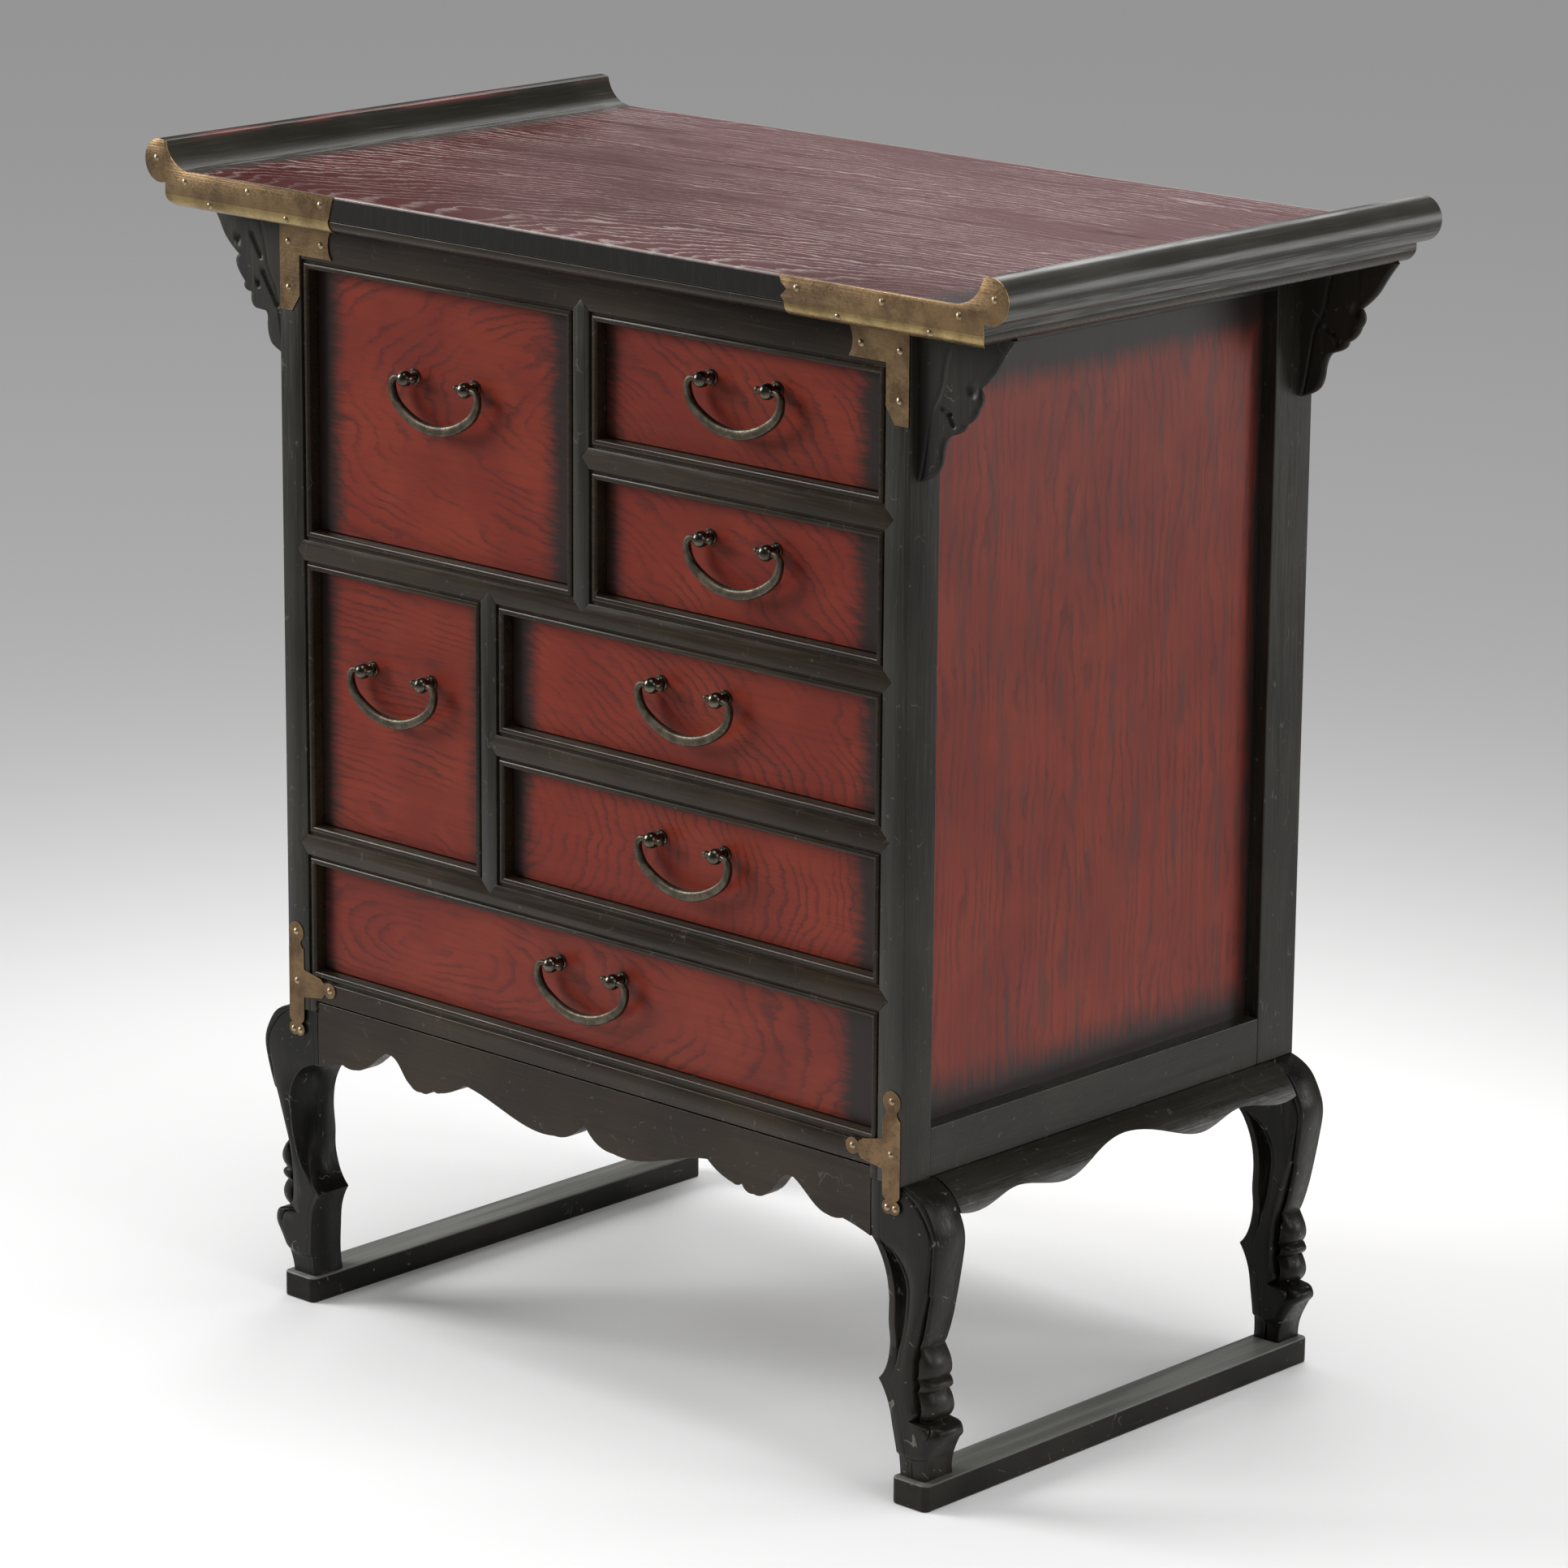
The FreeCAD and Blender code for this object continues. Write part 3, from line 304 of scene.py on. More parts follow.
def limed_top(low, high):
    """Maroon lacquer with pale filled grain and a pale haze in patches that is a painted reflection, growing
    towards the back and the right; black beside the rolls and on the edge, worn along the front and back
    arrises."""
    shader = Shader("limed_top", Specular_IOR_Level=0.32)
    where, axes = shader.place()
    x, y, z = axes.values()

    def grain(length, width, shift):
        return shader.drawn_out(x, y, (length, width), shift, 3.0, 0.65)

    ring = ring_lines(shader, x, y, TOP_HEART, 4.0)
    pale = ring.ramp(0.56, 0.88) * ring.ramp(1.0, 0.92)
    streak = grain(0.06, 0.0018, 1.0)
    dash = grain(0.028, 0.0013, 7.0)
    cloud = shader.stretched(where, (0.2, 0.07, 1.0), 3.0)
    # Painted reflection: pale pink haze in patches, growing towards the back and the right
    painted_haze = grain(0.16, 0.03, 5.0) * (y * 2.0 + x).ramp(-0.6, 0.5, 0.35, 1.5)
    ground = cloud.ramp(0.38, 0.62).mix(*MAROONS)
    ground = painted_haze.ramp(0.36, 0.66, 0.0, 0.65).mix(ground, PAINTED_HAZE)
    lime = streak.ramp(0.54, 0.7) * 0.34 + dash.ramp(0.38, 0.56, 0.2, 1.0) * pale
    lime = lime * cloud.ramp(0.32, 0.58, 0.25, 1.0)
    lime = lime * x.ramp(low.x + 0.03, low.x + 0.15, 1.2, 0.6) * x.ramp(low.x + 0.2, low.x + 0.5, 1.0, 1.6)
    colour = lime.math("MINIMUM", 0.9).mix(ground, LIME)
    smoke = grain(0.1, 0.0035, 3.0) - 0.5
    ends = (("X", low.x, 1.0, 0.0, 0.024, 0.05), ("X", high.x, -1.0, 0.006, 0.045, 0.05))
    colour = (shader.darkened_edges(axes, ends, smoke) * 0.85).mix(colour, SMOKE_BLACK)
    above = z.ramp(high.z - 2.4 * MM, high.z - 1.2 * MM)
    brushed = shader.stretched(where, (0.003, 1.0, 0.02), 3.0)
    colour = above.mix(brushed.ramp(0.45, 0.75).mix(*EDGE_BLACKS), colour)
    front = y.ramp(low.y + 0.5 * MM, low.y + 1.8 * MM, 0.6, 0.0)
    back = y.ramp(high.y - 6 * MM, high.y - 2 * MM, 0.0, 0.6)
    colour = (front.math("MAXIMUM", back) * above).mix(colour, BARE_ARRIS)
    shader.bump((pale + streak) * above, 0.05 * MM, 0.5)
    gloss = lime * 0.10 + streak.ramp(0.3, 0.8, 0.15, 0.24)
    return shader.paint(colour, (gloss - EDGE_ROUGHNESS) * above + EDGE_ROUGHNESS)


RUBBED_BRASS = (0.42, 0.31, 0.16, 1)
NAIL_BRASSES = ((0.42, 0.33, 0.21, 1), (0.22, 0.16, 0.09, 1))
PITTED = (0.03, 0.026, 0.02, 1)
RUBBED_BRONZE = (0.30, 0.26, 0.20, 1)


def antique_brass(name, light, dark, smooth, rough):
    """Aged brass sheet: brown tarnish in clouds, brighter where it is rubbed."""
    shader = Shader(name, Metallic=1.0)
    where, _ = shader.place()
    cloud = shader.noise(where, 40.0, 4.0, 0.6)
    fine = shader.noise(where, 420.0, 3.0, 0.6)
    brushed = shader.stretched(where, (0.03, 0.001, 0.001))
    colour = cloud.ramp(0.35, 0.68).mix(light, dark)
    colour = fine.ramp(0.55, 0.75, 0.0, 0.6).mix(colour, [0.75 * part for part in dark])
    colour = (shader.edges(0.8 * MM, 0.03, 0.3) * 0.7).mix(colour, RUBBED_BRASS)
    shader.bump(cloud * 2.0 + brushed, 0.25 * MM, 0.5)
    return shader.paint(colour, fine.ramp(0.3, 0.7, smooth, rough))


def nail_brass():
    shader = Shader("nail_brass", Metallic=1.0)
    where, _ = shader.place()
    fine = shader.noise(where, 300.0, 3.0, 0.6)
    shader.bump(fine, 0.06 * MM, 0.5)
    return shader.paint(fine.ramp(0.4, 0.7).mix(*NAIL_BRASSES), fine.ramp(0.3, 0.7, 0.32, 0.46))


def dark_bronze(name, light, dark, smooth, rough):
    """Bronze with a dark patina, pitted by the hammer, brighter where fingers rub it."""
    shader = Shader(name, Metallic=1.0)
    where, _ = shader.place()
    cloud = shader.noise(where, 130.0, 3.0, 0.6)
    pits = shader.noise(where, 800.0, 3.0, 0.65)
    colour = cloud.ramp(0.35, 0.65).mix(light, dark)
    colour = pits.ramp(0.5, 0.72, 0.0, 0.6).mix(colour, PITTED)
    colour = (shader.edges(0.9 * MM, 0.03, 0.4) * 0.4).mix(colour, RUBBED_BRONZE)
    shader.bump(pits * 0.5 + cloud, 0.3 * MM, 0.6)
    return shader.paint(colour, pits.ramp(0.3, 0.7, smooth, rough))


SOFTWOODS = ((0.40, 0.26, 0.145, 1), (0.31, 0.19, 0.10, 1))
SOFTWOOD_GRAIN = (0.22, 0.125, 0.06, 1)
STAIN = (0.030, 0.028, 0.025, 1)
STAINED_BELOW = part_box("dust_boards")[0].z + 1 * MM


def plain_wood(along):
    """Unfinished softwood of the hidden boards, stained dark under the case."""
    shader = Shader(f"plain_wood_{along.lower()}", Specular_IOR_Level=0.3)
    where, axes = shader.place()
    fibre = shader.stretched(where, fibre_sizes(along, 0.16, 0.004), 4.0, 0.6)
    colour = shader.noise(where, 6.0, 3.0).ramp(0.3, 0.7).mix(*SOFTWOODS)
    colour = fibre.ramp(0.45, 0.75, 0.0, 0.7).mix(colour, SOFTWOOD_GRAIN)
    colour = axes["Z"].ramp(STAINED_BELOW, STAINED_BELOW + 2 * MM, 0.9, 0.0).mix(colour, STAIN)
    shader.bump(fibre, 0.2 * MM, 0.5)
    return shader.paint(colour, fibre.ramp(0.3, 0.8, 0.5, 0.7))


CHARCOAL = ((0.0160, 0.0147, 0.0108, 1), (0.0290, 0.0268, 0.0196, 1))
# A lighter copy of the charcoal for the posts and stiles: painted light, in place of light on the posts'
# sides
LIGHTENED_POST_BLACK = ((0.0182, 0.0168, 0.0126, 1), (0.0335, 0.0310, 0.0232, 1))
BROWN_BLACK = ((0.0190, 0.0120, 0.0060, 1), (0.0335, 0.0222, 0.0112, 1))
# A darker copy of the black for the carved stand and the runners: painted shade, in place of the shade under
# the chest
SHADED_STAND_BLACK = ((0.0046, 0.0042, 0.0031, 1), (0.0190, 0.0168, 0.0124, 1))
# A lighter black for the right roll: painted sheen, in place of light on its outer side
PAINTED_SHEEN_BLACK = ((0.0230, 0.0215, 0.0175, 1), (0.0400, 0.0375, 0.0310, 1))
RED_CREST = (0.17, 0.050, 0.046, 1)
# Pale crest of the right roll: a painted highlight
PAINTED_CREST_HIGHLIGHT = (0.24, 0.235, 0.22, 1)
ROLL_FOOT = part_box("top_panel")[1].z
ROLL_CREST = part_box("roll_left")[1].z
RUNNER_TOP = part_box("runners")[1].z
BLACK = {
    "X": black_lacquer("x", "X", *BROWN_BLACK, shine=0.25, scuffs=0.3),
    "Y": black_lacquer("y", "Y", *CHARCOAL, scuffs=0.35),
    # Posts and stiles take the lighter copy of the charcoal: painted light
    "Z": black_lacquer("z", "Z", *LIGHTENED_POST_BLACK, scuffs=0.35),
}
# The carved stand takes the darker copy of the black: painted shade
CARVED = black_lacquer("carved", "Z", *SHADED_STAND_BLACK, (0.28, 0.48), 0.21, 0.75)
BRACKET_BLACK = black_lacquer("bracket", "Z", *CHARCOAL, (0.42, 0.58), scuffs=0.5)
# The runner tops are painted pale grey as a sheen
RUNNER = black_lacquer("runner", "Y", *SHADED_STAND_BLACK, (0.3, 0.45), 0.17, 0.5, painted_sheen_height=RUNNER_TOP)
# Left roll: crest worn red; the pale band at the foot of its cove is a painted highlight
LEFT_ROLL = black_lacquer(
    "left_roll", "Y", *CHARCOAL, shine=0.12, roll=(ROLL_FOOT, ROLL_CREST, 5 * MM, RED_CREST)
)
# Right roll: a lighter base as painted sheen and a pale crest as a painted highlight
RIGHT_ROLL = black_lacquer(
    "right_roll", "Y", *PAINTED_SHEEN_BLACK, (0.28, 0.38), 0.42,
    roll=(ROLL_FOOT, ROLL_CREST, 1.8 * MM, PAINTED_CREST_HIGHLIGHT),
)
WOOD = {axis: plain_wood(axis) for axis in "XY"}
BRASS = antique_brass("antique_brass", (0.275, 0.183, 0.096, 1), (0.140, 0.092, 0.053, 1), 0.3, 0.5)
BRIGHT_BRASS = antique_brass("bright_brass", (0.320, 0.208, 0.108, 1), (0.172, 0.110, 0.062, 1), 0.3, 0.5)
BROWN_BRASS = antique_brass("brown_brass", (0.235, 0.150, 0.080, 1), (0.115, 0.073, 0.042, 1), 0.34, 0.52)
GOLD = antique_brass("rubbed_brass", (0.42, 0.31, 0.135, 1), (0.22, 0.15, 0.068, 1), 0.26, 0.42)
NAIL = nail_brass()
BAIL = dark_bronze("bail_bronze", (0.135, 0.115, 0.085, 1), (0.075, 0.064, 0.048, 1), 0.36, 0.55)
POST = dark_bronze("post_bronze", (0.15, 0.13, 0.10, 1), (0.08, 0.07, 0.055, 1), 0.16, 0.3)


# Meshes

WELD_GAP = 0.01 * MM
FLAT_ANGLE = math.radians(0.5)
ARRIS_ANGLE = math.radians(40)
# Smaller rings are single points
POINT_RING = 1e-6


def piece_from(name, mesh, material, *replaced, body="case", slot="black_lacquer", crease=35):
    """A new piece from a bmesh in the model's frame, riding on a body."""
    data = bpy.data.meshes.new(name)
    bmesh.ops.recalc_face_normals(mesh, faces=mesh.faces)
    mesh.to_mesh(data)
    mesh.free()
    data.shade_smooth()
    data.set_sharp_from_angle(angle=math.radians(crease))
    piece = bpy.data.objects.new(name, data)
    bpy.context.scene.collection.objects.link(piece)
    data.materials.append(material)
    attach(piece, body)
    if replaced:
        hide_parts(*replaced)


def finish_node(node, material, soft=0.0, segments=2):
    """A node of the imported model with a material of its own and, where asked, softened arrises."""
    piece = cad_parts[node]
    piece.data.materials.clear()
    piece.data.materials.append(material)
    if soft:
        weld = piece.modifiers.new("weld", "WELD")
        weld.merge_threshold = WELD_GAP
        merge = piece.modifiers.new("merge_flats", "DECIMATE")
        merge.decimate_type = "DISSOLVE"
        merge.angle_limit = FLAT_ANGLE
        bevel = piece.modifiers.new("soft_arrises", "BEVEL")
        bevel.width = soft
        bevel.segments = segments
        bevel.limit_method = "ANGLE"
        bevel.angle_limit = ARRIS_ANGLE
        piece.modifiers.new("normals", "WEIGHTED_NORMAL")


def prism(points, near, far, soft):
    """A board sawn to an outline of (x, z) points, from y = near to y = far, with softened front arrises."""
    mesh = bmesh.new()
    front = [mesh.verts.new((x, near, z)) for x, z in points]
    back = [mesh.verts.new((x, far, z)) for x, z in points]
    face = mesh.faces.new(front)
    mesh.faces.new(back)
    join_rings(mesh, [front, back])
    bmesh.ops.recalc_face_normals(mesh, faces=mesh.faces)
    bmesh.ops.bevel(
        mesh, geom=list(face.edges), offset=soft, segments=2, profile=0.5, affect="EDGES", clamp_overlap=True
    )
    return mesh


def lathe(mesh, profile, centre, steps=32):
    """Adds a piece turned about a line along Y through the centre. profile holds (radius, y) points, from the
    back to the front."""
    rings = []
    for radius, y in profile:
        if radius < POINT_RING:
            rings.append([mesh.verts.new(centre + Vector((0, y, 0)))])
            continue
        ring = []
        for i in range(steps):
            turn = 2 * math.pi * i / steps
            spot = Vector((radius * math.cos(turn), y, radius * math.sin(turn)))
            ring.append(mesh.verts.new(centre + spot))
        rings.append(ring)
    join_rings(mesh, rings)


def join_rings(mesh, rings):
    """Faces between neighbouring rings of points, where a ring of one point closes an end."""
    for first, second in zip(rings, rings[1:]):
        count = max(len(first), len(second))
        for i in range(count):
            j = (i + 1) % count
            route = ((first, i), (first, j), (second, j), (second, i))
            unique = list(dict.fromkeys(ring[k % len(ring)] for ring, k in route))
            if len(unique) > 2:
                mesh.faces.new(unique)


def close_rings(mesh, rings):
    """Faces between neighbouring rings and on the first and the last ring."""
    join_rings(mesh, rings)
    mesh.faces.new(rings[0])
    mesh.faces.new(rings[-1])


# Front frame: a mitred bead round each opening, and members that meet in pointed joints

GAP = 0.8 * MM
BEAD = 5 * MM
BEAD_STEPS = 8
QUIRK = 7 * MM
QUIRK_DEPTH = 2.2 * MM
JOINT = 1.5 * MM
MEMBER = 29.5 * MM
POINT = MEMBER / 2 - QUIRK
MEMBER_SOFT = 0.45 * MM
RAIL_SOFT = 0.8 * MM
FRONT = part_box("post_front_left")[0].y
FRAME_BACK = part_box("post_front_left")[1].y
DRAWERS = range(1, 8)


def opening(number):
    low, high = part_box(f"drawer_{number}_front")
    return low.x - GAP, high.x + GAP, low.z - GAP, high.z + GAP


def bead_ring(number):
    left, right, bottom, top = opening(number)
    half = BEAD / 2
    arch = []
    for i in range(BEAD_STEPS + 1):
        turn = math.pi * i / BEAD_STEPS
        arch.append((half - half * math.cos(turn), QUIRK_DEPTH * (1 - math.sin(turn))))
    depth = FRAME_BACK - FRONT
    profile = [(0.0, depth)] + arch + [(QUIRK, QUIRK_DEPTH), (QUIRK, depth)]
    mesh = bmesh.new()
    columns = []
    corners = ((-1, left, -1, bottom), (1, right, -1, bottom), (1, right, 1, top), (-1, left, 1, top))
    for sign_x, x, sign_z, z in corners:
        columns.append([mesh.verts.new((x + sign_x * u, FRONT + v, z + sign_z * u)) for u, v in profile])
    join_rings(mesh, columns + columns[:1])
    piece_from(f"bead_{number}", mesh, BLACK["X"])


def member(name, x, z, material, replaced, pointed=(), **notches):
    """A straight member of the front frame. Its sides are x[0], x[1], z[0] and z[1]; pointed names the sides
    that end in a point, and notches holds the places on each side notched for the points of other members."""
    middle_x = (x[0] + x[1]) / 2
    middle_z = (z[0] + z[1]) / 2
    corners = {"bottom": (x[0], z[0]), "right": (x[1], z[0]), "top": (x[1], z[1]), "left": (x[0], z[1])}
    tips = {
        "bottom": (middle_x, z[0] - POINT),
        "right": (x[1] + POINT, middle_z),
        "top": (middle_x, z[1] + POINT),
        "left": (x[0] - POINT, middle_z),
    }
    points = []
    for side, corner in corners.items():
        points.append(corner)
        if side in pointed:
            points.append(tips[side])
        upright = side in ("left", "right")
        backwards = side in ("top", "left")
        inward = -1 if side in ("right", "top") else 1
        for place in sorted(notches.get(side, ()), reverse=backwards):
            edge = {"left": x[0], "right": x[1], "bottom": z[0], "top": z[1]}[side]
            step = -POINT if backwards else POINT
            for along, into in ((-step, 0.0), (0.0, POINT * inward), (step, 0.0)):
                points.append((edge + into, place + along) if upright else (place + along, edge + into))
    mesh = prism(points, FRONT, FRAME_BACK, MEMBER_SOFT)
    piece_from(name, mesh, material, replaced)


def make_front_frame():
    for number in DRAWERS:
        bead_ring(number)
    left = {n: opening(n)[0] - QUIRK for n in DRAWERS}
    right = {n: opening(n)[1] + QUIRK for n in DRAWERS}
    bottom = {n: opening(n)[2] - QUIRK for n in DRAWERS}
    top = {n: opening(n)[3] + QUIRK for n in DRAWERS}
    post_low, post_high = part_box("post_front_left")
    outer = -post_low.x
    upright = (post_low.z, post_high.z)
    rail_line = {n: bottom[n] - POINT for n in (1, 2, 3, 4, 5, 6)}
    upper_stile = (right[1] + left[2]) / 2
    lower_stile = (right[4] + left[5]) / 2
    stiles = {"upper": (right[1], left[2]), "lower": (right[4], left[5])}
    member(
        "left_post", (-outer, left[1]), upright, BLACK["Z"], "post_front_left",
        right=[rail_line[1], rail_line[4]],
    )
    member(
        "right_post", (right[2], outer), upright, BLACK["Z"], "post_front_right",
        left=[rail_line[n] for n in (2, 3, 5, 6)],
    )
    across = (left[1], right[2])
    member("top_rail_face", across, (top[1], post_high.z), BLACK["X"], "top_rail", bottom=[upper_stile])
    member(
        "mid_rail_face", across, (top[4], bottom[1]), BLACK["X"], "mid_rail", ("left", "right"),
        top=[upper_stile], bottom=[lower_stile],
    )
    member(
        "lower_rail_face", across, (top[7], bottom[4]), BLACK["X"], "lower_rail", ("left", "right"),
        top=[lower_stile],
    )
    low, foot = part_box("bottom_rail")[0].z + JOINT, post_low.z
    inside = (left[1] + QUIRK, right[2] - QUIRK)
    rail = [
        (across[0], foot), (inside[0], foot), (inside[0], low), (inside[1], low), (inside[1], foot),
        (across[1], foot), (across[1], bottom[7]), (across[0], bottom[7]),
    ]
    mesh = prism(rail, FRONT, FRAME_BACK, RAIL_SOFT)
    piece_from("bottom_rail_face", mesh, BLACK["X"], "bottom_rail")
    for name, first, last, short in (("upper", 1, 3, 2), ("lower", 4, 6, 5)):
        member(
            f"{name}_stile", stiles[name], (bottom[last], top[first]), BLACK["Z"], "stiles",
            ("bottom", "top"), right=[rail_line[short]],
        )
        member(
            f"{name}_short_rail", (stiles[name][1], right[2]), (top[last], bottom[short]), BLACK["X"],
            "short_rails", ("left", "right"),
        )


# Drawers

FRONT_SOFT = 0.7 * MM
BOX_SOFT = 0.5 * MM
BURNISH_FEATHER = 0.022
SEED_STEP = 1.7
# Place along and across, steepness, bluntness and spacing of the growth rings; burnished widths on the left
# and the right, in millimetres; tone
DRAWER_GRAIN = {
    1: ((0.20, 0.02, 0.35, 0.012, 0.0080), 10, 14, 1.09),
    2: ((-0.26, -0.17, 0.75, 0.020, 0.0090), -2, 13, 1.11),
    3: ((-0.30, -0.15, 0.60, 0.020, 0.0085), 0, 15, 1.12),
    4: ((-0.50, -0.20, 0.15, 0.020, 0.0070), 4, 0, 1.02),
    5: ((-0.34, -0.14, 0.55, 0.020, 0.0066), 11, 7, 1.10),
    6: ((-0.26, 0.01, 0.60, 0.015, 0.0060), 6, 13, 1.08),
    7: ((-0.17, 0.0, 0.30, 0.006, 0.0062), -3, 24, 0.97),
}


def make_drawer_faces():
    for number, (heart, left, right, tone) in DRAWER_GRAIN.items():
        low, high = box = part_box(f"drawer_{number}_front")
        edges = [
            ("X", low.x, 1.0, left * MM, BURNISH_FEATHER), ("X", high.x, -1.0, right * MM, BURNISH_FEATHER),
        ]
        seed = SEED_STEP * number
        material = red_lacquer(f"red_lacquer_{number}", "X", "Z", box, heart, edges, seed, tone)
        finish_node(f"drawer_{number}_front", material, FRONT_SOFT)
        finish_node(f"drawer_{number}_box", WOOD["Y"], BOX_SOFT)


# Pulls: the eye is the line that a bail swings about
EYE_FORWARD = 10 * MM
EYE_BELOW_TOP = 3.3 * MM
POST_BALL = 6 * MM
POST_OFFSET = 31 * MM
PIN = 2 * MM
BAIL_HALF = 44 * MM
BAIL_ELBOW = 5.5 * MM
BAIL_CORNER = 20 * MM
BAIL_DROP = 34 * MM
TIP_OFFSET = 22 * MM
TIP_BALL = 2.5 * MM
TIP_NECK = 0.7
TIP_STEPS = 6
PIN_PLAY = 0.3 * MM
# A bail swells towards its middle and is rounded less than a circle
SWELL_WIDE = 1.9 * MM
SWELL_DEEP = 1.2 * MM
BAIL_STEPS = 20
SQUARISH = 0.6
# Posts: shank, nut and dome, and (radius, height) of the collar in millimetres
SHANK = 2.2 * MM
SHANK_LENGTH = 23 * MM
FRONT_THICK = 18 * MM
NUT = 5 * MM
NUT_THICK = 3 * MM
DOME_START = -56
DOME_STEPS = 12
COLLAR = ((6, 0), (6, 0.9), (5.4, 1.6), (3.6, 1.9), (3.2, 3))


def arc_points(centre, radius, start, finish, steps):
    """Points from just after the start angle to the finish angle, in degrees."""
    made = []
    for i in range(1, steps + 1):
        turn = math.radians(start + (finish - start) * i / steps)
        made.append((centre[0] + radius * math.cos(turn), centre[1] + radius * math.sin(turn)))
    return made


def bail_half():
    """(x, z, half width, half depth) along the right half of a bail, from the middle of its lower arc to its
    tip."""
    side = BAIL_HALF - BAIL_CORNER
    sink = BAIL_DROP - BAIL_ELBOW
    lower = (side**2 + sink**2 - BAIL_CORNER**2) / (2 * (sink - BAIL_CORNER))
    centre = (0.0, lower - BAIL_DROP)
    corner = (side, -BAIL_ELBOW)
    meet = math.degrees(math.atan2(corner[1] - centre[1], corner[0] - centre[0]))
    route = [(0.0, -BAIL_DROP)]
    route += arc_points(centre, lower, -90, meet, 10)
    route += arc_points(corner, BAIL_CORNER, meet, 0, 10)
    route += arc_points((BAIL_HALF - BAIL_ELBOW, -BAIL_ELBOW), BAIL_ELBOW, 0, 90, 8)
    length = [0.0]
    for first, second in zip(route, route[1:]):
        length.append(length[-1] + math.dist(first, second))
    made = []
    for (x, z), far in zip(route, length):
        share = far / length[-1]
        swell = math.cos(share * math.pi / 2)
        made.append((x, z, PIN + SWELL_WIDE * swell**0.8, PIN + SWELL_DEEP * swell**0.5))
    made.append((POST_OFFSET + POST_BALL + PIN_PLAY, 0.0, PIN, PIN))
    made.append((TIP_OFFSET + TIP_BALL, 0.0, PIN, PIN))
    neck = math.asin(TIP_NECK)
    for i in range(TIP_STEPS + 1):
        turn = neck + (math.pi - neck) * i / TIP_STEPS
        bulge = TIP_BALL * math.sin(turn)
        made.append((TIP_OFFSET + TIP_BALL * math.cos(turn), 0.0, bulge, bulge))
    return made


def make_bail(number, eye):
    right = bail_half()
    stations = [(-x, z, a, b) for x, z, a, b in right[:0:-1]] + right
    mesh = bmesh.new()
    rings = []
    for i, (x, z, width, depth) in enumerate(stations):
        before = stations[max(i - 1, 0)]
        after = stations[min(i + 1, len(stations) - 1)]
        heading = Vector((after[0] - before[0], 0, after[1] - before[1])).normalized()
        outward = Vector((heading.z, 0, -heading.x))
        middle = eye + Vector((x, 0, z))
        if width < POINT_RING:
            rings.append([mesh.verts.new(middle)])
            continue
        ring = []
        for k in range(BAIL_STEPS):
            turn = 2 * math.pi * k / BAIL_STEPS
            across, back = (math.copysign(abs(s) ** SQUARISH, s) for s in (math.cos(turn), math.sin(turn)))
            ring.append(mesh.verts.new(middle + outward * width * across + Vector((0, depth * back, 0))))
        rings.append(ring)
    join_rings(mesh, rings)
    piece_from(
        f"pull_{number}", mesh, BAIL, f"drawer_{number}_bail", body=f"bail_{number}", slot="dark_bronze",
        crease=60,
    )


def make_posts(number, eye):
    """Two turned posts with a domed head, a neck and a collar, and the nuts behind the drawer front."""
    end = EYE_FORWARD + SHANK_LENGTH
    nut = EYE_FORWARD + FRONT_THICK
    profile = [
        (0.0, end), (SHANK, end), (SHANK, nut + NUT_THICK), (NUT, nut + NUT_THICK), (NUT, nut), (SHANK, nut),
        (SHANK, EYE_FORWARD),
    ]
    profile += [(radius * MM, EYE_FORWARD - height * MM) for radius, height in COLLAR]
    for i in range(DOME_STEPS):
        turn = math.radians(DOME_START + (90 - DOME_START) * i / DOME_STEPS)
        profile.append((POST_BALL * math.cos(turn), -POST_BALL * math.sin(turn)))
    profile.append((0.0, -POST_BALL))
    mesh = bmesh.new()
    for side in (-1, 1):
        lathe(mesh, profile, eye + Vector((side * POST_OFFSET, 0, 0)))
    drawer = f"drawer_{number}"
    piece_from(f"pull_posts_{number}", mesh, POST, f"{drawer}_posts", body=drawer, slot="dark_bronze")


def make_pulls():
    for number in DRAWERS:
        low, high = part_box(f"drawer_{number}_bail")
        eye = Vector(((low.x + high.x) / 2, FRONT, high.z - EYE_BELOW_TOP))
        make_bail(number, eye)
        make_posts(number, eye)


# Carved legs and brackets: boards whose front is shaped row by row, in millimetres from the side of the case

CASE_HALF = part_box("post_front_right")[1].x
# Rows closer than this are left out
LEAST_ROW = 0.35


def curve(points, steps=6):
    """Points along a smooth line through the given points."""
    if len(points) == 2:
        return list(points)
    before, after = (
        [3 * a[k] - 3 * b[k] + c[k] for k in (0, 1)] for a, b, c in (points[:3], points[:-4:-1])
    )
    row = [before, *points, after]
    made = [points[0]]
    for a, b, c, d in zip(row, row[1:], row[2:], row[3:]):
        for i in range(1, steps + 1):
            t = i / steps
            made.append([
                b[k] + 0.5 * t * (c[k] - a[k] + t * (2 * a[k] - 5 * b[k] + 4 * c[k] - d[k])
                                  + t * t * (3 * b[k] - a[k] - 3 * c[k] + d[k]))
                for k in (0, 1)
            ])
    return made


def line(start, *steps):
    """A line that climbs from the start: a point is reached straight, a list of points in a smooth curve."""
    made = [start]
    for step in steps:
        made += curve([made[-1], *(step if isinstance(step, list) else [step])])[1:]
    return made


def at(points, height):
    """The first value of a climbing line at a height."""
    for (x, z), (next_x, next_z) in zip(points, points[1:]):
        if height <= next_z:
            share = (height - z) / max(next_z - z, 1e-6)
            return x + (next_x - x) * min(max(share, 0.0), 1.0)
    return points[-1][0]


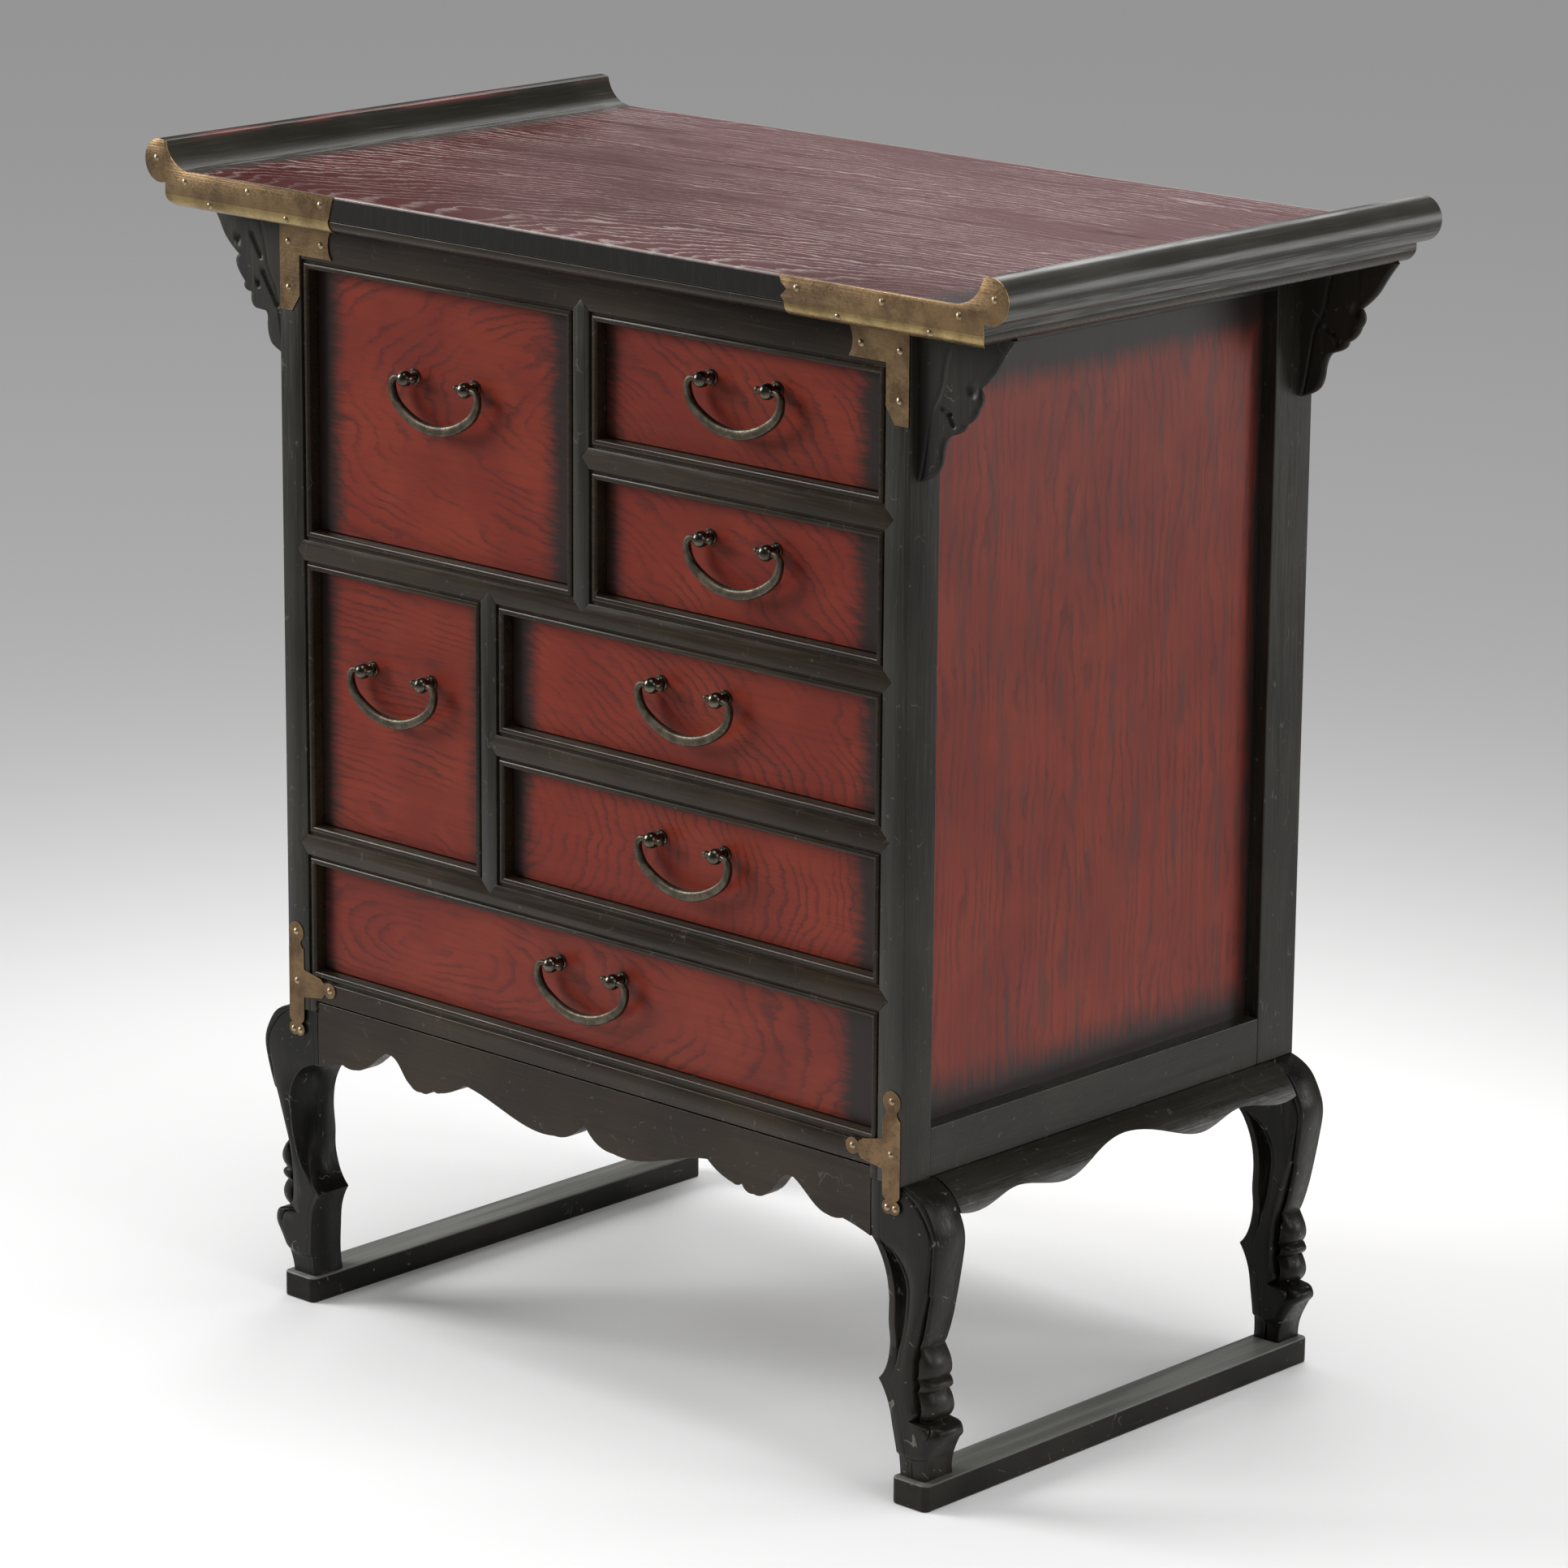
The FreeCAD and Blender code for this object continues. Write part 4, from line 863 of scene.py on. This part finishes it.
def heights_of(points, spacing):
    """Heights of a climbing line, at its own points and no further apart than the spacing."""
    made = []
    for _, z in points:
        if made and z - made[-1] < LEAST_ROW:
            continue
        while made and z - made[-1] > spacing * 1.5:
            made.append(made[-1] + spacing)
        made.append(z)
    return made


def carved_board(mesh, heights, section, side, front):
    """Adds a board to the mesh. section(z) gives the (x, y) ring of a row: x inwards from the side of the
    case on the given side (-1 left, 1 right), y back from the front plane."""
    rings = []
    for z in heights:
        ring = []
        for x, y in section(z):
            ring.append(mesh.verts.new((side * (CASE_HALF - x * MM), front + y * MM, z * MM)))
        rings.append(ring)
    close_rings(mesh, rings)


LEG_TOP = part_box("leg_front_left")[1].z / MM
LEG_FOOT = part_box("leg_front_left")[0].z / MM
# Heights of the shelf over the toe and of the notch over the lobes in the lines below
SHELF = 70.5
NOTCH = 127.0
LEG_OUTER = line(
    (-13.4, LEG_FOOT), [(-15, 33), (-21, 45), (-27, 54)], [(-29.6, 60), (-28.6, 66), (-24, 69)], (-15, SHELF),
    [(-22, 81), (-17.5, 93.5)], [(-21.8, 98.5), (-17.8, 103.3)], [(-21, 114), (-13.4, NOTCH)],
    [(-20, 147), (-28.4, 185), (-30.6, 205), (-25, 220), (-16, 231), (0, LEG_TOP)],
)
LEG_INNER = line(
    (10, LEG_FOOT), [(10, 36), (12.5, 55), (16, 75), (24, 91)],
    [(16, 103), (12, 120), (12.5, 136), (11.5, 155), (14, 172), (20.5, 186), (29.5, 196)], (29.5, LEG_TOP),
)
STEM_OUTER = line(
    (-40, LEG_FOOT), (-29, 62),
    [(-16, 70), (-8, 79), (-6, 95), (-6.5, 112), (-8.5, 127), (-13, 143), (-18, 160), (-22.5, 175),
     (-26.5, 190), (-30, 205)], (-40, LEG_TOP),
)
STEM_INNER = line(
    (40, LEG_FOOT), (23, 91),
    [(14, 102), (6, 112), (-0.5, 133), (-3, 152), (-3, 167), (3, 181), (14, 191), (28, 196)], (40, LEG_TOP),
)
LEAF_WIDTH = line(
    (9, LEG_FOOT), (9, 68),
    [(10, 80), (10, 114), (3.2, NOTCH), (3.2, 165), (4, 205), (7, 225), (12, LEG_TOP)],
)
LEAF_DEPTH = line(
    (0, LEG_FOOT), (0, 50), [(1.2, 58), (3.5, 65), (6, SHELF)], [(3, 81), (4.6, 93.5)],
    [(3.4, 98.5), (4.6, 103.3)], [(2.8, 114), (6, NOTCH)], [(5.5, 145), (5, 165.5)], (3.4, 166.5),
    [(1.5, 185), (0.6, 207)], (0.6, LEG_TOP),
)
GROOVE_DEPTH = line(
    (0, LEG_FOOT), (0, 60), [(9, 72), (11, 95), (11, 127), (10, 150), (7, 168), (3.4, 188), (2, 207)],
    (1.8, LEG_TOP),
)
ARRIS = line(
    (1.2, LEG_FOOT), (1.2, 34), [(5, 46), (9, 58), (9, 68)], [(9, 76), (9, 118), (5, 130), (2, 150)],
    (1.4, LEG_TOP),
)
SCOOP_SHARE = line(
    (0, LEG_FOOT), (0, 96),
    [(0.05, 100), (0.15, 106), (0.32, 116), (0.56, 130), (0.84, 146), (1, 160), (1, 176), (0.6, 188)],
    (0, 195.5), (0, LEG_TOP),
)
# The legs are carved by hand, so left and right differ: heights of the shelf and the notch, how rounded the
# toe and the lobes are, depth of the scoop, share of that depth at its inner rim, width of the rim, and how
# far it stands in
LEG_HAND = {-1: (SHELF, NOTCH, 0.4, 15.0, 1.0, 2.0, 0.0), 1: (64.5, 120.0, 1.0, 7.0, 0.1, 7.0, 2.5)}
FRONT_LEG_FACE = curve([(11.5, LEG_FOOT - 1), (5, 96), (2, 190), (1.5, LEG_TOP + 1)], 12)
FRONT_LEG_THICK = 32.0
LEG_ROW = 1.6
# The lines below this height are the same on both hands
TOE = 52
# The front steps back below the ankle, which bows down towards its middle: height, bow, step and slope
ANKLE = 37.0
ANKLE_BOW = 0.012
ANKLE_STEP = 2.2
ANKLE_SLOPE = 2.5
# Rounded share of the leaf's width, least widths of groove and scoop, place of the groove's floor
LEAF_STEPS = 5
LEAF_ROUND = 0.85
GROOVE_LEAST = 1.2
SCOOP_LEAST = 2.0
GROOVE_FLOOR = 0.45
# Shares of the way across the scoop and of its depth
SCOOP_FLOOR = ((0.25, 0.55), (0.42, 0.82), (0.6, 0.96), (0.8, 1.0))
STEM_BEAD = 0.8
BACK_SOFT = 1.2


def leg_section(face, thick, hand):
    """Rows of a leg: a raised stem between a deep groove with a leaf of three lobes and a scoop inside."""
    shelf, notch, rounding, scoop, rim, rim_wide, inwards = hand
    drawn = [(LEG_FOOT, LEG_FOOT), (TOE, TOE), (SHELF, shelf), (NOTCH, notch), (LEG_TOP, LEG_TOP)]

    def section(z):
        carved = at(drawn, z)
        outer, wide = at(LEG_OUTER, carved), at(LEAF_WIDTH, carved)
        arris = rounding * at(ARRIS, carved)
        low, deep = at(LEAF_DEPTH, carved), at(GROOVE_DEPTH, carved)
        if carved < SHELF:
            low *= rounding
        share = at(SCOOP_SHARE, z)
        hollow = scoop * share
        inner = at(LEG_INNER, z) + inwards * share
        leaf = outer + wide
        stem_left = max(at(STEM_OUTER, carved), leaf + GROOVE_LEAST)
        rim_start = inner - rim_wide
        stem_right = min(at(STEM_INNER, z), rim_start - SCOOP_LEAST)
        front = []
        for i in range(LEAF_STEPS + 1):
            turn = math.radians(90 * i / LEAF_STEPS)
            across = outer + LEAF_ROUND * wide * (1 - math.cos(turn))
            front.append((across, low + arris * (1 - math.sin(turn))))
        floor = leaf + (stem_left - leaf) * GROOVE_FLOOR
        middle = (stem_left + stem_right) / 2
        front += [
            (leaf, low + 0.12 * deep), (floor, max(deep, low)), (stem_left, 0.28 * deep),
            (stem_left + 0.9, 0.09 * deep), (stem_left + 2.0, 0.0), (middle, 0.0),
        ]
        bead = STEM_BEAD * share
        front += [
            (stem_right - 3.6, 0.4 * bead), (stem_right - 2.7, bead), (stem_right - 1.7, 0.1 * bead),
            (stem_right - 0.6, 0.1 * bead), (stem_right, 0.2 + 0.06 * hollow),
            (stem_right + 0.5, 0.3 * hollow),
        ]
        gap = rim_start - stem_right
        edge = rim * hollow
        for along, sunk in SCOOP_FLOOR:
            front.append((stem_right + along * gap, sunk * hollow))
        front += [
            (rim_start, (hollow + edge) / 2), (rim_start + 0.8, edge + 0.1), (inner - 0.8, edge),
            (inner, edge + 0.9),
        ]
        ring = []
        setback = at(face, z)
        for x, y in front:
            drop = ANKLE + ANKLE_BOW * (x + 2) ** 2 - z
            ring.append((x, setback + y + ANKLE_STEP * min(max(drop / ANKLE_SLOPE, 0.0), 1.0)))
        back = setback + thick
        soft = 0.45 * arris
        ring += [(inner, back - BACK_SOFT), (inner - BACK_SOFT, back)]
        return ring + [(outer + soft, back), (outer, back - soft)]
    return section


def make_legs():
    heights = heights_of(sorted(LEG_OUTER + LEG_INNER, key=lambda p: p[1]), LEG_ROW)
    for end, face in (("front", FRONT_LEG_FACE), ("rear", [(0, LEG_FOOT), (0, LEG_TOP)])):
        low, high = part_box(f"leg_{end}_left")
        front = FRONT if end == "front" else low.y
        thick = FRONT_LEG_THICK if end == "front" else (high.y - low.y) / MM
        for name, side in (("left", -1), ("right", 1)):
            mesh = bmesh.new()
            carved_board(mesh, heights, leg_section(face, thick, LEG_HAND[side]), side, front)
            node = f"leg_{end}_{name}"
            piece_from(f"carved_{node}", mesh, CARVED, node, crease=50)


BRACKET_LOW, BRACKET_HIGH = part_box("brackets")
BRACKET_TOP = BRACKET_HIGH.z / MM
BRACKET_OUTER = {
    -1: line(
        (0, BRACKET_LOW.z / MM), [(-12, 738.5), (-20, 744), (-23, 757)], [(-24, 765), (-31, 766)],
        [(-39, 769), (-40, 778)], [(-47, 780), (-47, 785)], [(-56, 797), (-53, 804.5)],
        [(-67, 816), (-75, 829), (-84, BRACKET_TOP)],
    ),
    1: line(
        (0, BRACKET_LOW.z / MM), [(-12, 738.5), (-19, 745), (-22, 757)], [(-25, 766), (-30, 770)],
        [(-39, 774), (-42, 779)], [(-49, 784), (-53, 791)], [(-56, 798), (-53, 804.5)],
        [(-66, 816), (-75, 829), (-84, BRACKET_TOP)],
    ),
}
BRACKET_FIELD = line(
    (-2, BRACKET_LOW.z / MM), [(-5.6, 748), (-8, 762), (-10, 773), (-12.5, 785), (-19, 797), (-22, 808)],
    [(-25, 822), (-32, BRACKET_TOP)],
)
BRACKET_DEEP = 8.0
BRACKET_ROW = 1.5
BRACKET_STEPS = 44
BRACKET_CHAMFER = 4.5
# Depth and width of the rounded rim and of the groove beside the field
LEAF_RIM = (1.4, 4.0)
FIELD_GROOVE = (0.9, 2.0)
# Gouged strokes and the drilled eye of the left and right brackets: two ends, half width and depth
BRACKET_CUTS = {
    -1: (
        ((-38, 822), (-28, 806), 2.6, 2.2), ((-26, 795), (-11, 772), 2.6, 2.2),
        ((-32, 787), (-31, 784), 2.2, 2.2), ((-53, 817), (-53, 815), 3.6, 2.4),
    ),
    1: (
        ((-22, 787), (-28, 784), 2.2, 1.6), ((-28, 784), (-32, 777), 2.2, 1.6),
        ((-48, 804), (-48, 802), 4.6, 1.8),
    ),
}


def cut_depth(x, z, start, finish, wide, deep):
    """Depth of a rounded cut between two points, at a place."""
    run = (finish[0] - start[0], finish[1] - start[1])
    share = ((x - start[0]) * run[0] + (z - start[1]) * run[1]) / (run[0] ** 2 + run[1] ** 2)
    share = min(max(share, 0.0), 1.0)
    away = math.dist((x, z), (start[0] + share * run[0], start[1] + share * run[1]))
    return deep * max(0.0, 1.0 - (away / wide) ** 2)


def bracket_section(side):
    """Rows of a bracket: a scalloped leaf with a rounded rim and a few cuts, grooved off from the field
    beside the case."""
    rim_deep, rim_wide = LEAF_RIM
    groove_deep, groove_wide = FIELD_GROOVE

    def section(z):
        outer = at(BRACKET_OUTER[side], z)
        field = at(BRACKET_FIELD, z)
        ring = []
        for i in range(BRACKET_STEPS + 1):
            x = outer * (1 - i / BRACKET_STEPS)
            deep = rim_deep * max(0.0, 1 - (x - outer) / rim_wide) ** 2
            deep += groove_deep * max(0.0, 1 - abs(x - field) / groove_wide)
            for cut in BRACKET_CUTS[side]:
                deep += cut_depth(x, z, *cut)
            ring.append((x, deep))
        chamfer = min(BRACKET_CHAMFER, -0.5 * outer)
        return ring + [(0.0, BRACKET_DEEP), (outer + chamfer, BRACKET_DEEP), (outer, BRACKET_DEEP - chamfer)]
    return section


def make_brackets():
    for end, front in (("front", BRACKET_LOW.y), ("rear", BRACKET_HIGH.y - BRACKET_DEEP * MM)):
        for name, side in (("left", -1), ("right", 1)):
            mesh = bmesh.new()
            rows = heights_of(BRACKET_OUTER[side], BRACKET_ROW)
            carved_board(mesh, rows, bracket_section(side), side, front)
            piece_from(f"bracket_{end}_{name}", mesh, BRACKET_BLACK, "brackets", crease=50)


# Brass on the front corners of the top: a sheet on the edge of the top and a lip bent round the moulding

SHEET = 0.8
SHEET_SOFT = 0.25 * MM
TOP_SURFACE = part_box("top_panel")[1].z / MM
TOP_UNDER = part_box("top_panel")[0].z / MM
MOULDING_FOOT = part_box("top_moulding")[0].z / MM
PLATE_END = -89.5
PLATE_INNER = 85.0
EAR_CENTRE = (-94.7, TOP_SURFACE + 5.2)
EAR_RADIUS = 16.3
EAR_STEPS = 24
CREST = (-88.0, EAR_CENTRE[1] + 14.86)
COVE = ((-66.0, TOP_SURFACE), (-81.0, TOP_SURFACE + 6.7), CREST)
COVE_STEPS = 8
LIP_ROWS = 14
LIP_STEPS = 8
# Gap between the lip and the moulding, and the least angle that the lip bends through
LIP_GAP = 0.05
LIP_LEAST = 0.06
STRAIGHT_CUT = [(PLATE_INNER, TOP_UNDER), (PLATE_INNER + 6, TOP_SURFACE)]
CUSPED_CUT = [
    (PLATE_INNER + 3, TOP_UNDER), (PLATE_INNER + 6.5, TOP_UNDER + 4), (PLATE_INNER + 1, TOP_UNDER + 9),
    (PLATE_INNER + 6, TOP_UNDER + 13), (PLATE_INNER + 8, TOP_SURFACE),
]


def plate_outline(inner_cut):
    """(x, z) round a sheet: its inner end, the cove, and the ear round the end of the roll."""
    start = math.degrees(math.atan2(CREST[1] - EAR_CENTRE[1], CREST[0] - EAR_CENTRE[0]))
    step = math.degrees(math.acos((PLATE_END - EAR_CENTRE[0]) / EAR_RADIUS))
    ear = arc_points(EAR_CENTRE, EAR_RADIUS, start, 360 - step, EAR_STEPS)
    return inner_cut + curve(COVE, COVE_STEPS) + ear + [(PLATE_END, TOP_UNDER)]


def make_lip(name, side, inner, corner, face):
    """The bent lip. Its outer end is rounded over the given number of times its drop."""
    bend = TOP_UNDER - MOULDING_FOOT
    reach = corner * bend
    mesh = bmesh.new()
    rings = []
    rounded = [PLATE_END + reach * i / LIP_ROWS for i in range(LIP_ROWS)]
    for x in rounded + [PLATE_END + reach, inner]:
        share = max(PLATE_END + reach - x, 0.0) / reach
        sweep = max(math.asin(math.sqrt(1 - share**2)), LIP_LEAST)
        ring = []
        for thick, start, finish in ((SHEET, 0.0, sweep), (LIP_GAP, sweep, 0.0)):
            for i in range(LIP_STEPS + 1):
                turn = start + (finish - start) * i / LIP_STEPS
                y = face + (bend - (bend + thick) * math.cos(turn)) * MM
                z = (TOP_UNDER - (bend + thick) * math.sin(turn)) * MM
                ring.append(mesh.verts.new((side * (CASE_HALF - x * MM), y, z)))
        rings.append(ring)
    close_rings(mesh, rings)
    piece_from(f"top_plate_lip_{name}", mesh, GOLD, "top_plates", slot="antique_brass", crease=50)


def make_top_plates():
    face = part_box("top_panel")[0].y
    ends = (("left", -1, STRAIGHT_CUT, 1.4, BRASS), ("right", 1, CUSPED_CUT, 0.8, BRIGHT_BRASS))
    for name, side, cut, corner, metal in ends:
        points = [(side * (CASE_HALF - x * MM), z * MM) for x, z in plate_outline(cut)]
        mesh = prism(points, face - SHEET * MM, face, SHEET_SOFT)
        piece_from(f"top_plate_{name}", mesh, metal, "top_plates", slot="antique_brass", crease=50)
        make_lip(name, side, cut[0][0], corner, face)


# The rest of the case and the stand

SIDE_HEART = (-0.21, -0.03, 0.085, 0.006, 0.0085)
SIDE_SEED = 21.0
SIDE_TONE = 0.93
SIDE_LOOK = {"bands": 0.2, "lines": 0.5, "gloss": 0.36, "smoked": 0.5}
TOP_SOFT = 1.2 * MM
# Material of each node and how far its arrises are softened, in millimetres
CASE_FINISH = (
    ("rear_posts", BLACK["Z"], 1.0),
    ("side_rails", BLACK["Y"], 1.0),
    ("top_moulding", BLACK["X"], 0.6),
    ("roll_left", LEFT_ROLL, 0.6),
    ("roll_right", RIGHT_ROLL, 0.6),
    ("apron_front", BLACK["X"], 1.2),
    ("apron_back", BLACK["X"], 1.2),
    ("side_aprons", BLACK["Y"], 1.2),
    ("runners", RUNNER, 1.5),
    ("back_rails", WOOD["X"], 0.8),
    ("back_panel", WOOD["X"], 0.8),
    ("dust_boards", WOOD["Y"], 0.0),
    ("drawer_guides", WOOD["Y"], 0.0),
    ("corner_plates", BRASS, 0.0),
    ("leg_plates", BROWN_BRASS, 0.0),
    ("nails", NAIL, 0.0),
)


def side_lacquer():
    low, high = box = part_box("side_panels")
    # Painted shade: the dark band along the top, under the moulding, and along the rear, beside the rear
    # post; along the bottom it is burnish
    edges = [
        ("Z", high.z, -1.0, 0.018, 0.022), ("Z", low.z, 1.0, 0.008, 0.030),
        ("Y", low.y, 1.0, -0.006, 0.012), ("Y", high.y, -1.0, 0.001, 0.018),
    ]
    return red_lacquer(
        "red_lacquer_side", "Z", "Y", box, SIDE_HEART, edges, SIDE_SEED, SIDE_TONE, **SIDE_LOOK
    )


def make_case():
    finish_node("side_panels", side_lacquer())
    finish_node("top_panel", limed_top(*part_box("top_panel")), TOP_SOFT, 3)
    for node, material, soft in CASE_FINISH:
        finish_node(node, material, soft * MM)


# Stage: floor, light and camera

FLOOR_RADIUS = 30.0
FLOOR_WHITE = 0.95
FLOOR_GREY = 0.13
FLOOR_GLOW = 0.262
NEAR_GLOW = 0.03
FLOOR_FADE = 1.28


def make_floor():
    """A pale floor, white around the chest and fading into an even grey backdrop far away."""
    bpy.ops.mesh.primitive_circle_add(vertices=96, radius=FLOOR_RADIUS, fill_type="NGON")
    floor = bpy.context.object
    floor.name = "floor"
    shader = Shader("floor", Specular_IOR_Level=0.0)
    where, _ = shader.place()
    share = shader.value("VectorMath", {0: where}, "Value", operation="LENGTH") / FLOOR_FADE
    nearness = (share * share * -1.0).math("EXPONENT")
    shade = nearness * (FLOOR_WHITE - FLOOR_GREY) + FLOOR_GREY
    shader.paint(shader.value("CombineColor", enumerate([shade] * 3)), 1.0)
    backdrop = nearness * (NEAR_GLOW - FLOOR_GLOW) + FLOOR_GLOW
    glow = shader.value("Emission", {"Strength": backdrop * shader.seen()})
    shader.feed(shader.output, shader.value("AddShader", {0: shader.plain, 1: glow}))
    floor.data.materials.append(shader.holder)


def soft_box(name, place, target, size, power):
    lamp = bpy.data.lights.new(name, "AREA")
    lamp.shape = "RECTANGLE"
    lamp.size, lamp.size_y = size
    lamp.energy = power
    box = bpy.data.objects.new(name, lamp)
    bpy.context.scene.collection.objects.link(box)
    box.location = place
    box.rotation_euler = (Vector(target) - Vector(place)).to_track_quat("-Z", "Y").to_euler()


AMBIENT = 0.2
BACKDROP = (0.09, 0.09, 0.091, 1)
# Place, target, size and power of each soft box
LAMPS = {
    "key": ((-4.2, -2.6, 2.6), (0, 0, 0.5), (2.3, 2.3), 230),
    "fill": ((3.6, 0.3, 2.3), (0.2, 0, 0.5), (2.6, 2.1), 49),
    "rim": ((2.9, 3.1, 1.0), (0.3, 0, 0.55), (1.6, 1.4), 35),
    "overhead": ((0.1, 0.1, 3.4), (0, 0, 0.8), (2.4, 2.0), 85),
    "back": ((-1.75, 2.85, 3.2), (0, 0, 0.87), (1.6, 1.2), 26),
    "sheen": ((-3.0, 3.98, 1.74), (0, 0, 0.86), (2.0, 1.0), 0.72),
}


def make_light():
    sky = Shader("studio", "worlds", "Background", Color=(1, 1, 1, 1), Strength=AMBIENT)
    shown = sky.value("Background", {"Color": BACKDROP})
    sky.feed(sky.output, sky.value("MixShader", {0: sky.seen(), 1: sky.plain, 2: shown}))
    bpy.context.scene.world = sky.holder
    for name, lamp in LAMPS.items():
        soft_box(name, *lamp)


CAMERA_PLACE = (3.01638, -3.25119, 1.60725)
CAMERA_YAW = math.radians(42.765)
CAMERA_PITCH = math.radians(14.867)
CAMERA_ROLL = math.radians(0.436)
FOCAL_PIXELS = 7660
IMAGE_PIXELS = 1932
SENSOR = 36.0
CLIP_END = 100


def make_camera():
    lens = bpy.data.cameras.new("camera")
    lens.sensor_width = SENSOR
    lens.lens = FOCAL_PIXELS / IMAGE_PIXELS * SENSOR
    lens.clip_end = CLIP_END
    camera = bpy.data.objects.new("camera", lens)
    bpy.context.scene.collection.objects.link(camera)
    turn = Matrix.Rotation(CAMERA_YAW, 4, "Z") @ Matrix.Rotation(math.pi / 2 - CAMERA_PITCH, 4, "X")
    turn = turn @ Matrix.Rotation(CAMERA_ROLL, 4, "Z")
    camera.matrix_world = Matrix.Translation(CAMERA_PLACE) @ turn
    bpy.context.scene.camera = camera


make_front_frame()
make_drawer_faces()
make_pulls()
make_legs()
make_brackets()
make_top_plates()
make_case()
make_floor()
make_light()
make_camera()
bpy.context.scene.view_settings.view_transform = "Standard"
